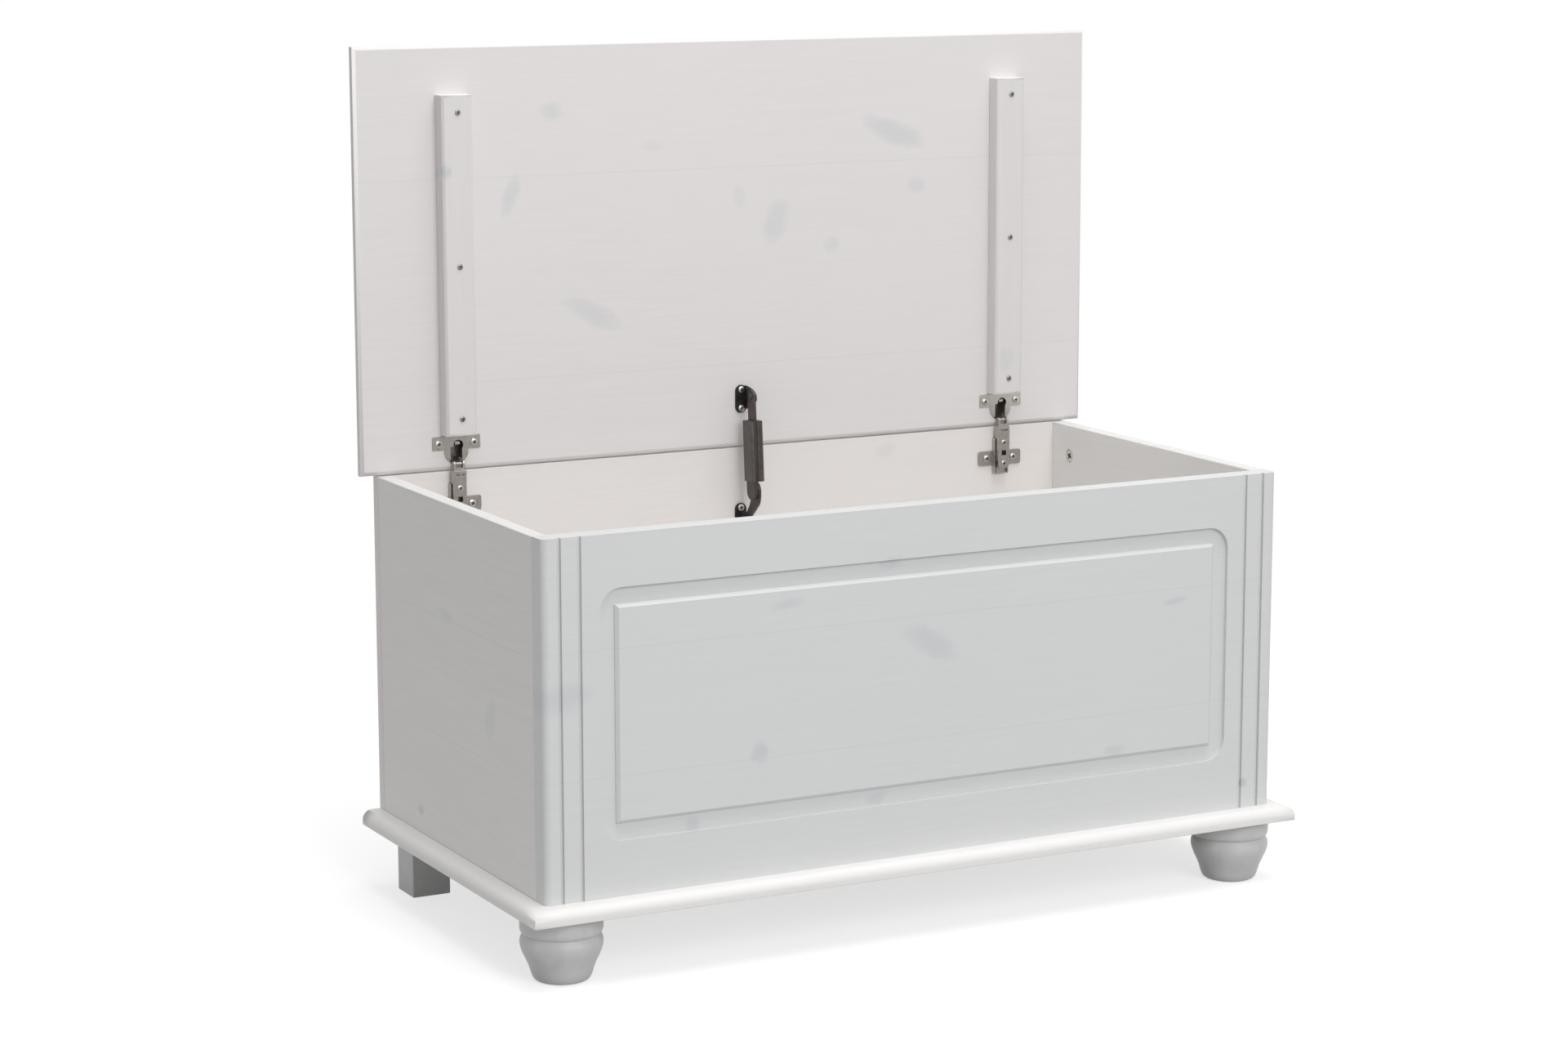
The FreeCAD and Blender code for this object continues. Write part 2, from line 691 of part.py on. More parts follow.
def hinge_plate(label, side):
    """The cross-shaped mounting plate on the back panel: wings, a spine and a rail on each side."""
    middle = "%d * hinge_x" % side
    wings = block("plate_width", "plate_thickness", "plate_height", middle + " - plate_width / 2",
                  "back_face_y - plate_thickness", "rim - plate_drop - plate_height / 2")
    spine_width = "arm_width - 2 * arm_wall - 2 * side_clearance"
    spine = block(spine_width, "plate_thickness + plate_spine_thickness", "plate_spine_height",
                  middle + " - (%s) / 2" % spine_width,
                  "back_face_y - plate_thickness - plate_spine_thickness",
                  "rim - plate_spine_drop - plate_spine_height / 2")
    rails = [block("plate_rail_thickness", "plate_rail_depth", "plate_spine_height", middle + start,
                   "back_face_y - plate_rail_depth", "rim - plate_spine_drop - plate_spine_height / 2")
             for start in (" - arm_width / 2 - side_clearance - plate_rail_thickness",
                           " + arm_width / 2 + side_clearance")]
    holes = [rod("screw_radius + hole_clearance", "plate_thickness",
                 middle + " + %d * plate_screw_half_spacing" % shift,
                 "back_face_y - plate_thickness", "rim - plate_drop", FACING_BACK) for shift in (-1, 1)]
    node(cut(fused(wings, spine, *rails), *holes), label)


def hinge_arm(label, side):
    """The channel arm over the mounting plate, with its rolled nose above the rim."""
    middle = "%d * hinge_x" % side
    front = "back_face_y - plate_thickness - arm_depth"
    channel = block("arm_width", "arm_depth", "arm_drop + arm_rise", middle + " - arm_width / 2",
                    front, "rim - arm_drop")
    inside = block("arm_width - 2 * arm_wall", "arm_depth", "arm_drop + arm_rise",
                   middle + " - arm_width / 2 + arm_wall", front + " + arm_wall", "rim - arm_drop")
    neck = block("nose_width", "2 * nose_radius", "nose_pin_rise", middle + " - nose_width / 2",
                 "nose_y - nose_radius", "rim")
    roll = rod("nose_radius", "nose_width", middle + " - nose_width / 2", "nose_y", "nose_z", FACING_RIGHT)
    slot_width = "hinge_link_width + 2 * side_clearance"
    slot = block(slot_width, "4 * nose_radius", "2 * nose_slot_drop", middle + " - (%s) / 2" % slot_width,
                 "nose_y - 2 * nose_radius", "nose_z - nose_slot_drop")
    bore = rod("hinge_pin_radius + pin_clearance", "nose_width", middle + " - nose_width / 2",
               "nose_y", "nose_z", FACING_RIGHT)
    window = block("arm_window", "arm_wall", "arm_window", middle + " - arm_window / 2", front,
                   "rim - arm_window_drop - arm_window / 2")
    threads = [rod("screw_radius + hole_clearance", "arm_wall", middle, front, "rim - " + drop, FACING_BACK)
               for drop in ARM_SCREW_DROPS]
    node(cut(fused(cut(channel, inside), neck, roll), slot, bore, window, *threads), label)


def hinge_link(label, side):
    """The short link between the arm's nose and the pin in the cup, forked round that pin."""
    width, half = "hinge_link_width", "hinge_link_half_height"
    eye = rod(half, width, "0", "0", "0", FACING_RIGHT)
    shank = block(width, "hinge_link_reach", "2 * " + half, "0", "0", "-" + half)
    bore = rod("hinge_pin_radius + pin_clearance", width, "0", "0", "0", FACING_RIGHT)
    fork = block(width, "hinge_link_reach - link_slot_start", "2 * (cup_pin_radius + link_slot_clearance)",
                 "0", "link_slot_start", "-cup_pin_radius - link_slot_clearance")
    turn = FreeCAD.Rotation(FreeCAD.Vector(1, 0, 0), size("link_angle"))
    link = cut(fused(eye, shank), bore, fork)
    put(link, "%d * hinge_x - hinge_link_width / 2" % side, "nose_y", "nose_z", turn)
    node(link, label)


def hinge_cup(label, side):
    """The cup sunk in the lid, its winged flange on the underside and the pin that the link rides on."""
    middle = "%d * hinge_x" % side
    shell = rod("cup_radius", "cup_depth", middle, "lid_y", "cup_z", FACING_BACK)
    flange = block("cup_flange_width", "cup_flange_thickness", "cup_flange_height",
                   middle + " - cup_flange_width / 2", "lid_y - cup_flange_thickness",
                   "lid_z + cup_flange_start")
    rim_disc = rod("cup_radius", "cup_flange_thickness", middle, "lid_y - cup_flange_thickness", "cup_z",
                   FACING_BACK)
    hollow = rod("cup_hollow_radius", "cup_depth - cup_floor + cup_flange_thickness", middle,
                 "lid_y - cup_flange_thickness", "cup_z", FACING_BACK)
    holes = [rod("screw_radius + hole_clearance", "cup_flange_thickness",
                 middle + " + %d * cup_screw_half_spacing" % shift, "lid_y - cup_flange_thickness",
                 "lid_z + cup_screw_line", FACING_BACK) for shift in (-1, 1)]
    notch_width = "hinge_link_width + 2 * side_clearance"
    notch = block(notch_width, "cup_notch_depth", "cup_notch_height", middle + " - (%s) / 2" % notch_width,
                  "lid_y - cup_flange_thickness", "cup_z - cup_radius")
    chord = "(sqrt(cup_hollow_radius ^ 2 - (cup_z - cup_pin_z) ^ 2) + (cup_radius - cup_hollow_radius) / 2)"
    pin = rod("cup_pin_radius", "2 * " + chord, middle + " - " + chord, "cup_pin_y", "cup_pin_z",
              FACING_RIGHT)
    node(fused(cut(fused(shell, flange, rim_disc), hollow, *holes), pin), label)


# Lid stay

def stadium(x, y, z, width, height, thickness):
    """An upright plate with round ends, from its front face back, by the middle of its low end."""
    middle = block(width, thickness, "%s - %s" % (height, width), "%s - %s / 2" % (x, width), y,
                   "%s + %s / 2" % (z, width))
    ends = [rod(width + " / 2", thickness, x, y, "%s + %s" % (z, rise), FACING_BACK)
            for rise in (width + " / 2", "%s - %s / 2" % (height, width))]
    return fused(middle, *ends)


def bar(x, thickness, half_width, start, end):
    """A flat bar between two points of the plane across X, with the flats of its sides along X."""
    (y0, z0), (y1, z1) = [(size(y), size(z)) for y, z in (start, end)]
    angle = math.atan2(z1 - z0, y1 - y0)
    length = math.hypot(y1 - y0, z1 - z0)
    flat = block(thickness, length, "2 * " + half_width, x, y0 + math.sin(angle) * size(half_width),
                 z0 - math.cos(angle) * size(half_width))
    flat.Placement = FreeCAD.Placement(flat.Placement.Base,
                                       FreeCAD.Rotation(FreeCAD.Vector(1, 0, 0), math.degrees(angle)))
    return flat


def upper_bracket():
    """The bracket on the lid: a round-ended plate and an ear that stands out to the upper pivot."""
    plate = stadium("stay_x", "lid_y - bracket_thickness", "lid_z + upper_bracket_start", "bracket_width",
                    "bracket_height", "bracket_thickness")
    arm = block("ear_thickness", "upper_pivot_stand - bracket_thickness / 2", "2 * ear_radius",
                "upper_ear_x", "upper_pivot_y", "upper_pivot_z - ear_radius")
    end = rod("ear_radius", "ear_thickness", "upper_ear_x", "upper_pivot_y", "upper_pivot_z", FACING_RIGHT)
    pin_hole = rod("stay_pin_radius + pin_clearance", "ear_thickness", "upper_ear_x", "upper_pivot_y",
                   "upper_pivot_z", FACING_RIGHT)
    front = "lid_y - bracket_thickness"
    holes = [rod("screw_radius + hole_clearance", "bracket_thickness", "stay_x", front,
                 "lid_z + " + along, FACING_BACK) for along in UPPER_SCREWS]
    node(cut(fused(plate, arm, end), pin_hole, *holes), "stay_upper_bracket")


def lower_bracket():
    """The bracket on the back panel, with a short ear at the lower pivot."""
    front = "back_face_y - bracket_thickness"
    plate = stadium("stay_x", front, "rim - lower_bracket_drop - bracket_height", "bracket_width",
                    "bracket_height", "bracket_thickness")
    ear = block("ear_thickness", "lower_pivot_stand - bracket_thickness / 2", "2 * lower_ear_radius",
                "lower_ear_x", "lower_pivot_y", "lower_pivot_z - lower_ear_radius + lower_ear_lift")
    end = rod("lower_ear_radius", "ear_thickness", "lower_ear_x", "lower_pivot_y", "lower_pivot_z",
              FACING_RIGHT)
    pin_hole = rod("stay_pin_radius + pin_clearance", "ear_thickness", "lower_ear_x", "lower_pivot_y",
                   "lower_pivot_z", FACING_RIGHT)
    holes = [rod("screw_radius + hole_clearance", "bracket_thickness", "stay_x", front,
                 "rim - (%s)" % drop, FACING_BACK) for drop in LOWER_SCREW_DROPS]
    node(cut(fused(plate, ear, end), pin_hole, *holes), "stay_lower_bracket")


def rivet(label, left, right, y, z):
    """A rivet through an arm and an ear, from the left face to the right face, with a head on each end."""
    pin = rod("stay_pin_radius", "%s - (%s) + 2 * rivet_gap" % (right, left), left + " - rivet_gap", y, z,
              FACING_RIGHT)
    heads = [rod("rivet_head_radius", "rivet_head_height", x, y, z, FACING_RIGHT)
             for x in (left + " - rivet_gap - rivet_head_height", right + " + rivet_gap")]
    node(fused(pin, *heads), label)


def leaning(thing, x="0", down="0", forward="0"):
    """Hangs a shape, drawn along its own upright axis, on the line from the upper pivot to the knee."""
    y = "upper_pivot_y + (%s) * sin(stay_lean * 1 deg) - (%s) * cos(stay_lean * 1 deg)" % (down, forward)
    z = "upper_pivot_z - (%s) * cos(stay_lean * 1 deg) - (%s) * sin(stay_lean * 1 deg)" % (down, forward)
    return put(thing, x, y, z, FreeCAD.Rotation(FreeCAD.Vector(1, 0, 0), size("stay_lean")))


def stay_arm():
    """The flat upper arm, from the upper pivot down into the sleeve."""
    thickness, width = "stay_arm_thickness", "stay_arm_width"
    flat = block(thickness, width, "stay_arm_length", "0", "-stay_arm_width / 2", "-stay_arm_length")
    eye = rod(width + " / 2", thickness, "0", "0", "0", FACING_RIGHT)
    hole = rod("stay_pin_radius + pin_clearance", thickness, "0", "0", "0", FACING_RIGHT)
    arm = cut(fused(flat, eye), hole)
    node(leaning(arm, "sleeve_x - stay_arm_thickness / 2"), "stay_upper_arm")


def stay_sleeve():
    """The sleeve that slides on the upper arm: open at the top, with a lengthwise groove in its front."""
    body = new_body("stay_sleeve")
    outline = sketch_on(body)
    rectangle(outline, 0, 0, "sleeve_width", "sleeve_depth")
    pad(body, outline, "sleeve_length")
    length = size("sleeve_length")
    dress(body, "Fillet", lambda b: near(b.ZLength, length), "sleeve_edge_round")
    slot = sketch_on(body, offset="sleeve_length")
    wide, deep = "stay_arm_thickness + 2 * side_clearance", "stay_arm_width + 2 * side_clearance"
    rectangle(slot, "(sleeve_width - (%s)) / 2" % wide, "(sleeve_depth - (%s)) / 2" % deep, wide, deep)
    pocket(body, slot, "sleeve_length - sleeve_floor")
    groove = sketch_on(body, offset="sleeve_length")
    rectangle(groove, "sleeve_groove_inset", 0, "sleeve_groove_width", "sleeve_groove_depth")
    pocket(body, groove, "sleeve_length")
    leaning(body, "sleeve_x - sleeve_width / 2", "sleeve_start + sleeve_length", "sleeve_depth / 2")


def stay_knuckle():
    """The tongue under the sleeve, with the knee pin that reaches through the lower arm's wide hole."""
    left = "lower_arm_x - sleeve_x - side_clearance - knuckle_thickness"
    tongue = block("knuckle_thickness", "2 * knuckle_radius", "stay_link - sleeve_start - sleeve_length",
                   left, "-knuckle_radius", "-stay_link")
    eye = rod("knuckle_radius", "knuckle_thickness", left, "0", "-stay_link", FACING_RIGHT)
    reach = "(2 * side_clearance + lower_arm_thickness)"
    right = left + " + knuckle_thickness"
    pin = rod("stay_pin_radius", reach, right, "0", "-stay_link", FACING_RIGHT)
    head = rod("knee_head_radius", "rivet_head_height", "%s + %s" % (right, reach), "0", "-stay_link",
               FACING_RIGHT)
    node(leaning(fused(tongue, eye, pin, head), "sleeve_x"), "stay_knuckle")


def stay_lower_arm():
    """The cranked arm from the lower pivot to the knee, with a wide hole round the knee pin."""
    x, thickness, half = "lower_arm_x", "lower_arm_thickness", "lower_arm_half_width"
    lower = bar(x, thickness, half, ("lower_pivot_y", "lower_pivot_z"), ("bend_y", "bend_z"))
    upper = bar(x, thickness, half, ("bend_y", "bend_z"), ("knee_y", "knee_z"))
    foot = rod(half, thickness, x, "lower_pivot_y", "lower_pivot_z", FACING_RIGHT)
    bend = rod(half, thickness, x, "bend_y", "bend_z", FACING_RIGHT)
    eye = rod("lower_arm_eye_radius", thickness, x, "knee_y", "knee_z", FACING_RIGHT)
    pin_hole = rod("stay_pin_radius + pin_clearance", thickness, x, "lower_pivot_y", "lower_pivot_z",
                   FACING_RIGHT)
    knee_hole = rod("knee_hole_radius", thickness, x, "knee_y", "knee_z", FACING_RIGHT)
    node(cut(fused(lower, upper, foot, bend, eye), pin_hole, knee_hole), "stay_lower_arm")


# Screws, dowels and other fittings

def pan_screw(x, surface, z, length="screw_length"):
    """A pan-head screw driven towards the back, its head on a surface."""
    head = cone("pan_head_radius", "pan_head_top_radius", "pan_head_height", x, surface, z, UPRIGHT)
    shank = rod("screw_radius", length, x, surface, z, FACING_BACK)
    return fused(head, shank)


def arm_screw(x, z):
    """A small screw through the front of a hinge arm, down to the plate's spine."""
    front = "back_face_y - plate_thickness - arm_depth"
    head = cone("arm_screw_head_radius", "arm_screw_head_top_radius", "arm_screw_head_height", x, front,
                z, UPRIGHT)
    shank = rod("screw_radius", "arm_depth - plate_spine_thickness", x, front, z, FACING_BACK)
    return fused(head, shank)


def panel_screw(x, y):
    """A sunk screw from under the base board up into a board of the chest."""
    head = rod("panel_screw_head_radius", "panel_screw_head_height", x, y, "foot_height")
    shank = rod("panel_screw_radius", "panel_screw_length", x, y, "foot_height + panel_screw_head_height")
    return fused(head, shank)


def screw_sets():
    """Each kind of screw is one node of separate solids."""
    sides = (-1, 1)
    hinges = ["%d * hinge_x" % side for side in sides]
    plate_face, cup_face = "back_face_y - plate_thickness", "lid_y - cup_flange_thickness"
    node(together([pan_screw("%s + %d * plate_screw_half_spacing" % (x, shift), plate_face,
                             "rim - plate_drop") for x in hinges for shift in sides]), "hinge_plate_screws")
    node(together([pan_screw("%s + %d * cup_screw_half_spacing" % (x, shift), cup_face,
                             "lid_z + cup_screw_line") for x in hinges for shift in sides]),
         "hinge_cup_screws")
    node(together([arm_screw(x, "rim - " + drop) for x in hinges for drop in ARM_SCREW_DROPS]),
         "hinge_arm_screws")
    node(together([pan_screw(x, "lid_y - batten_thickness", "lid_z + " + along, "batten_screw_length")
                   for x in hinges for along in BATTEN_SCREWS]), "batten_screws")
    node(together([pan_screw("stay_x", "lid_y - bracket_thickness", "lid_z + " + along)
                   for along in UPPER_SCREWS]), "stay_upper_screws")
    node(together([pan_screw("stay_x", "back_face_y - bracket_thickness", "rim - (%s)" % drop)
                   for drop in LOWER_SCREW_DROPS]), "stay_lower_screws")
    node(together([panel_screw(x, y) for x, y in PANEL_SCREWS]), "base_screws")
    node(together([rod("foot_bolt_radius", "foot_bolt_in_foot + foot_bolt_in_base", x, y,
                       "foot_height - foot_bolt_in_foot") for x, y in FOOT_BOLTS]), "foot_bolts")


def cam_fittings():
    """Cam discs in the side panels and the bolts that they draw in from the back panel."""
    seat = "back_face_y - cam_inset"
    discs = []
    bolts = []
    for rise in CAM_RISES:
        height = "base_top + " + rise
        for start in ("-box_width / 2 + side_thickness - cam_depth", "box_width / 2 - side_thickness"):
            discs.append(rod("cam_radius", "cam_depth", start, seat, height, FACING_RIGHT))
        for side in (-1, 1):
            bolts.append(rod("cam_bolt_radius", "cam_bolt_seat + cam_inset - cam_radius - side_clearance",
                             "%d * %s" % (side, SIDE_SCREW_X), "back_face_y + cam_bolt_seat", height,
                             UPRIGHT))
    node(together(discs), "cam_discs")
    node(together(bolts), "cam_bolts")


def front_dowels():
    """Wooden dowels between the front panel and the side panels."""
    dowels = []
    for rise in DOWEL_RISES:
        for side in (-1, 1):
            dowels.append(rod("dowel_radius", "dowel_front_depth + dowel_side_depth",
                              "%d * %s" % (side, SIDE_SCREW_X), "front_face_y - dowel_front_depth",
                              "base_top + " + rise, FACING_BACK))
    node(together(dowels), "front_dowels")


def hinge_pins():
    """The pins in the noses of the hinge arms."""
    node(together([rod("hinge_pin_radius", "nose_width", "%d * hinge_x - nose_width / 2" % side, "nose_y",
                       "nose_z", FACING_RIGHT) for side in (-1, 1)]), "hinge_pins")


# The trunk

front_panel()
side_panel("left_side_panel", "-box_width / 2")
side_panel("right_side_panel", "box_width / 2 - side_thickness")
back_panel()
base_board()
lid_panel()
for side_name, side_sign in (("left", -1), ("right", 1)):
    bun_foot("front_%s_foot" % side_name, side_sign)
    block_foot("rear_%s_foot" % side_name, side_sign)
    batten(side_name + "_batten", side_sign)
    hinge_plate(side_name + "_hinge_plate", side_sign)
    hinge_arm(side_name + "_hinge_arm", side_sign)
    hinge_link(side_name + "_hinge_link", side_sign)
    hinge_cup(side_name + "_hinge_cup", side_sign)
hinge_pins()
upper_bracket()
lower_bracket()
rivet("stay_upper_rivet", "sleeve_x - stay_arm_thickness / 2", "upper_ear_x + ear_thickness",
      "upper_pivot_y", "upper_pivot_z")
rivet("stay_lower_rivet", "lower_ear_x", "lower_arm_x + lower_arm_thickness", "lower_pivot_y",
      "lower_pivot_z")
stay_arm()
stay_sleeve()
stay_knuckle()
stay_lower_arm()
screw_sets()
cam_fittings()
front_dowels()

# Checks before the files are written

doc.recompute()
for thing in doc.Objects:
    if "Invalid" in thing.State or "Error" in thing.State:
        raise RuntimeError("%s is not sound: %s" % (thing.Label, thing.State))
for thing in NODES:
    if thing.Shape.isNull() or not thing.Shape.isValid() or thing.Shape.Volume <= 0:
        raise RuntimeError("%s has no sound shape" % thing.Label)

os.makedirs("parts", exist_ok=True)
for thing in NODES:
    thing.Shape.exportStep("parts/%s.step" % thing.Label)
    box = thing.Shape.BoundBox
    print("%-20s %2d solids %10.0f mm3  x %.1f..%.1f  y %.1f..%.1f  z %.1f..%.1f" % (
        thing.Label, len(thing.Shape.Solids), thing.Shape.Volume, box.XMin, box.XMax, box.YMin, box.YMax,
        box.ZMin, box.ZMax))
print("%d nodes" % len(NODES))
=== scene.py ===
from math import atan2, cos, pi, radians, sin

import bmesh
import bpy
from bpy.props import FloatProperty, FloatVectorProperty, IntProperty, PointerProperty
from mathutils import Matrix, Vector


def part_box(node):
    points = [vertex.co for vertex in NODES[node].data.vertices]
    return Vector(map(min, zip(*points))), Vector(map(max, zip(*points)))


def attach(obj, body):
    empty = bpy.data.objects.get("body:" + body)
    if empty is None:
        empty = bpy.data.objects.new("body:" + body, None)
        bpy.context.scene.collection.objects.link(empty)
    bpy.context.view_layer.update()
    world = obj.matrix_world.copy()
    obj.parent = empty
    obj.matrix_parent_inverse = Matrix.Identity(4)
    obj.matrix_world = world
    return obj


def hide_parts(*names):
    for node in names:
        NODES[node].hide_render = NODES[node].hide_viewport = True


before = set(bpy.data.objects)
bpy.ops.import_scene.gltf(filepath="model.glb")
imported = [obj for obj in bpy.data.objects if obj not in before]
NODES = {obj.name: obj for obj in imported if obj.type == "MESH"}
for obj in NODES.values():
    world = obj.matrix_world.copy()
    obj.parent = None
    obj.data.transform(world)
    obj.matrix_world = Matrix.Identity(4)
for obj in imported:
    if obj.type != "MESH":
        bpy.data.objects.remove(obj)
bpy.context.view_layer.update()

bl_info = {
    "name": "Storage trunk",
    "version": (1, 0, 0),
    "blender": (4, 5, 0),
    "location": "View3D > Sidebar > Trunk",
    "description": "Dresses a white-glazed storage trunk with its boards, feet, hinges and lid stay",
    "category": "Add Mesh",
}

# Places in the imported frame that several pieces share
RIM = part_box("front_panel")[1].z  # top of the box
LID_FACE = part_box("lid_panel")[0].y
LID_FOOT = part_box("lid_panel")[0].z
BACK_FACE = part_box("back_panel")[0].y
FOOT_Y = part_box("front_panel")[0].y + 0.029
NOSE_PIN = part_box("hinge_pins")[0] + Vector((0, 0.001, 0.001))
CUP_PIN = Vector((0, LID_FACE + 0.003426, LID_FOOT + 0.009838))
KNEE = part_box("stay_knuckle")[0] + Vector((0, 0.009, 0.009))

# Measures in metres
MM = 0.001
SHEET = 0.002  # thickness of the mounting plates and the stay's brackets
FLANGE = 0.0006  # thickness of a hinge cup's flange
CUP_RADIUS = 0.013
PLATE_DROP = 0.034  # from the rim down to the middle of a mounting plate
WING_SCREW = 0.0165  # from a hinge's middle to the screws in its mounting plate
CUP_SCREW = 0.019  # from a hinge's middle to the screws in its cup's flange
FACING_FRONT = (0, -1, 0)

KNOT_FRAY = 0.012  # how far the rim of a knot is shifted to and fro
DRAWN_END = 0.0044  # the stretch of a board's lower end that a let-down draws out
LID_LET_DOWN = 0.0013
CROSS_TURNS = (0.3, 1.1, 0.7, 0.1)  # angles of the crosses in neighbouring screws

LAMP_TARGET = (0.0, 0.0, 0.4)
LAMP_SIZE = 2.6
KEY_PLACE = (-0.1, -4.6, 2.9)
TOP_PLACE = (0.2, -0.5, 3.4)
FLOOR_GLOW = 0.66  # light of its own that the floor adds where it is seen
FLOOR_FADE = (0.75, 1.7)  # the distances from the trunk between which the floor turns plain white
CAMERA_PLACE = (-1.7056, -3.1373, 1.00445)
CAMERA_YAW, CAMERA_PITCH, CAMERA_ROLL = 0.48529, 0.17558, -0.00102


# Settings

def colour(name, text, default):
    """A colour setting."""
    return FloatVectorProperty(name=name, description=text, default=default, subtype="COLOR", min=0, max=1)


def length(name, text, default):
    """A length setting in metres."""
    return FloatProperty(name=name, description=text, default=default, unit="LENGTH", min=0)


def amount(name, text, default, least=0):
    """A setting that takes any number from a least one."""
    return FloatProperty(name=name, description=text, default=default, min=least)


def number(name, text, default, least):
    """A setting that takes whole numbers from a least one."""
    return IntProperty(name=name, description=text, default=default, min=least)


class TrunkFinish(bpy.types.PropertyGroup):
    """Colours of the glazes, platings and coatings"""
    # The four board glazes are one white glaze toned board by board: partly each board's own tint, partly
    # painted light and shade that sets how bright each board renders.
    front_glaze: colour("Front glaze", "Glaze on the front panel", (0.705, 0.71, 0.715))
    side_glaze: colour("Side glaze", "Glaze on the side panels and the base", (0.82, 0.81, 0.793))
    lid_glaze: colour("Lid glaze", "Glaze on the lid and its battens", (0.76, 0.735, 0.73))
    inside_glaze: colour("Inside glaze", "Glaze on the back panel", (0.812, 0.778, 0.757))
    foot_paint: colour("Foot paint", "Paint on the feet", (0.63, 0.635, 0.63))
    knot: colour("Knot", "Blue-grey of a knot under the glaze", (0.52, 0.56, 0.58))
    nickel: colour("Nickel", "Plating of the hinges", (0.48, 0.45, 0.42))
    zinc: colour("Zinc", "Plating of the screws", (0.62, 0.61, 0.58))
    stay_brown: colour("Stay arm", "Coating of the stay's arms", (0.052, 0.034, 0.030))
    stay_black: colour("Stay bracket", "Coating of the stay's brackets", (0.014, 0.012, 0.012))
    sleeve: colour("Stay sleeve", "Moulded sleeve of the stay", (0.082, 0.068, 0.061))


class TrunkShape(bpy.types.PropertyGroup):
    """Sizes and counts of the details"""
    arris: length("Arris", "Softening of the boards' edges", 0.0007)
    foot_steps: number("Foot steps", "Steps round a turned foot", 96, 24)
    screw_head: length("Screw head", "Radius of a pan head", 0.0036)
    screw_recess: length("Screw recess", "Length of the cross in a screw's head", 0.0042)
    sleeve_ribs: number("Sleeve ribs", "Fine ribs on the stay's sleeve", 4, 2)


class TrunkStage(bpy.types.PropertyGroup):
    """Floor, lights and lens"""
    floor: colour("Floor", "Colour of the floor", (0.45, 0.45, 0.45))
    key_power: amount("Key light", "Power of the key light in watts", 92)
    top_power: amount("Top light", "Power of the top light in watts", 70)
    room: amount("Room light", "Strength of the light from all round", 0.42)
    lens: amount("Lens", "Focal length in millimetres", 83.76, 1)


# Materials

def shaded(tone, factor):
    """A lighter or darker tone."""
    return [min(1.0, channel * factor) for channel in tone]


def feed(tree, slot, value):
    """Links a socket to an input, or sets anything else as the input's value."""
    if isinstance(value, bpy.types.NodeSocket):
        tree.links.new(value, slot)
    else:
        slot.default_value = value


def node(tree, kind, settings=None, **inputs):
    """A node of the tree, its inputs given by name, or by number as i0, i1 and so on."""
    made = tree.nodes.new("ShaderNode" + kind)
    for key, value in (settings or {}).items():
        setattr(made, key, value)
    for key, value in inputs.items():
        numbered = key[0] == "i" and key[1:].isdigit()
        feed(tree, made.inputs[int(key[1:]) if numbered else key.replace("_", " ")], value)
    return made


def maths(tree, operation, first, second=0.0):
    """The value that an operation makes of one or two."""
    return node(tree, "Math", {"operation": operation}, i0=first, i1=second).outputs[0]


def vectors(tree, operation, first, *others):
    """The vector that an operation makes of two or three."""
    inputs = {"i%d" % place: value for place, value in enumerate((first, *others))}
    return node(tree, "VectorMath", {"operation": operation}, **inputs).outputs[0]


def noise(tree, place, scale=1.0, detail=3.0, **more):
    """A noise texture on a place."""
    return node(tree, "TexNoise", Vector=place, Scale=scale, Detail=detail, **more)


def stretched(tree, place, scale):
    """A place with each axis scaled by its own factor."""
    return node(tree, "Mapping", Vector=place, Scale=scale).outputs[0]


def own_place(tree):
    """The place on the piece, in its own coordinates."""
    return node(tree, "TexCoord").outputs["Object"]


def parted(tree, place):
    """The three values of a place."""
    return node(tree, "SeparateXYZ", Vector=place).outputs


def mapped(tree, value, low, high, to_low=0.0, to_high=1.0):
    """A smooth rise or fall between two values."""
    made = node(tree, "MapRange", {"interpolation_type": "SMOOTHSTEP"}, Value=value,
                From_Min=low, From_Max=high, To_Min=to_low, To_Max=to_high)
    return made.outputs["Result"]


def mixed(tree, share, first, second):
    """Two colours mixed by the share of the second one."""
    made = node(tree, "Mix", {"data_type": "RGBA"}, i0=share)
    for value, slot in ((first, made.inputs[6]), (second, made.inputs[7])):
        feed(tree, slot, value if isinstance(value, bpy.types.NodeSocket) else (*value, 1.0))
    return made.outputs[2]


def finish(name, roughness, metallic=0.0):
    """A new material with its tree and its shader."""
    material = bpy.data.materials.new(name)
    material.use_nodes = True
    tree = material.node_tree
    shader = tree.nodes["Principled BSDF"]
    shader.inputs["Roughness"].default_value = roughness
    shader.inputs["Metallic"].default_value = metallic
    return material, tree, shader


def surfaced(tree, shader, shade, rough, height, distance, strength):
    """Gives a shader its colour, its roughness and a fine relief."""
    relief = node(tree, "Bump", Height=height, Distance=distance, Strength=strength)
    tree.links.new(shade, shader.inputs["Base Color"])
    tree.links.new(rough, shader.inputs["Roughness"])
    tree.links.new(relief.outputs["Normal"], shader.inputs["Normal"])


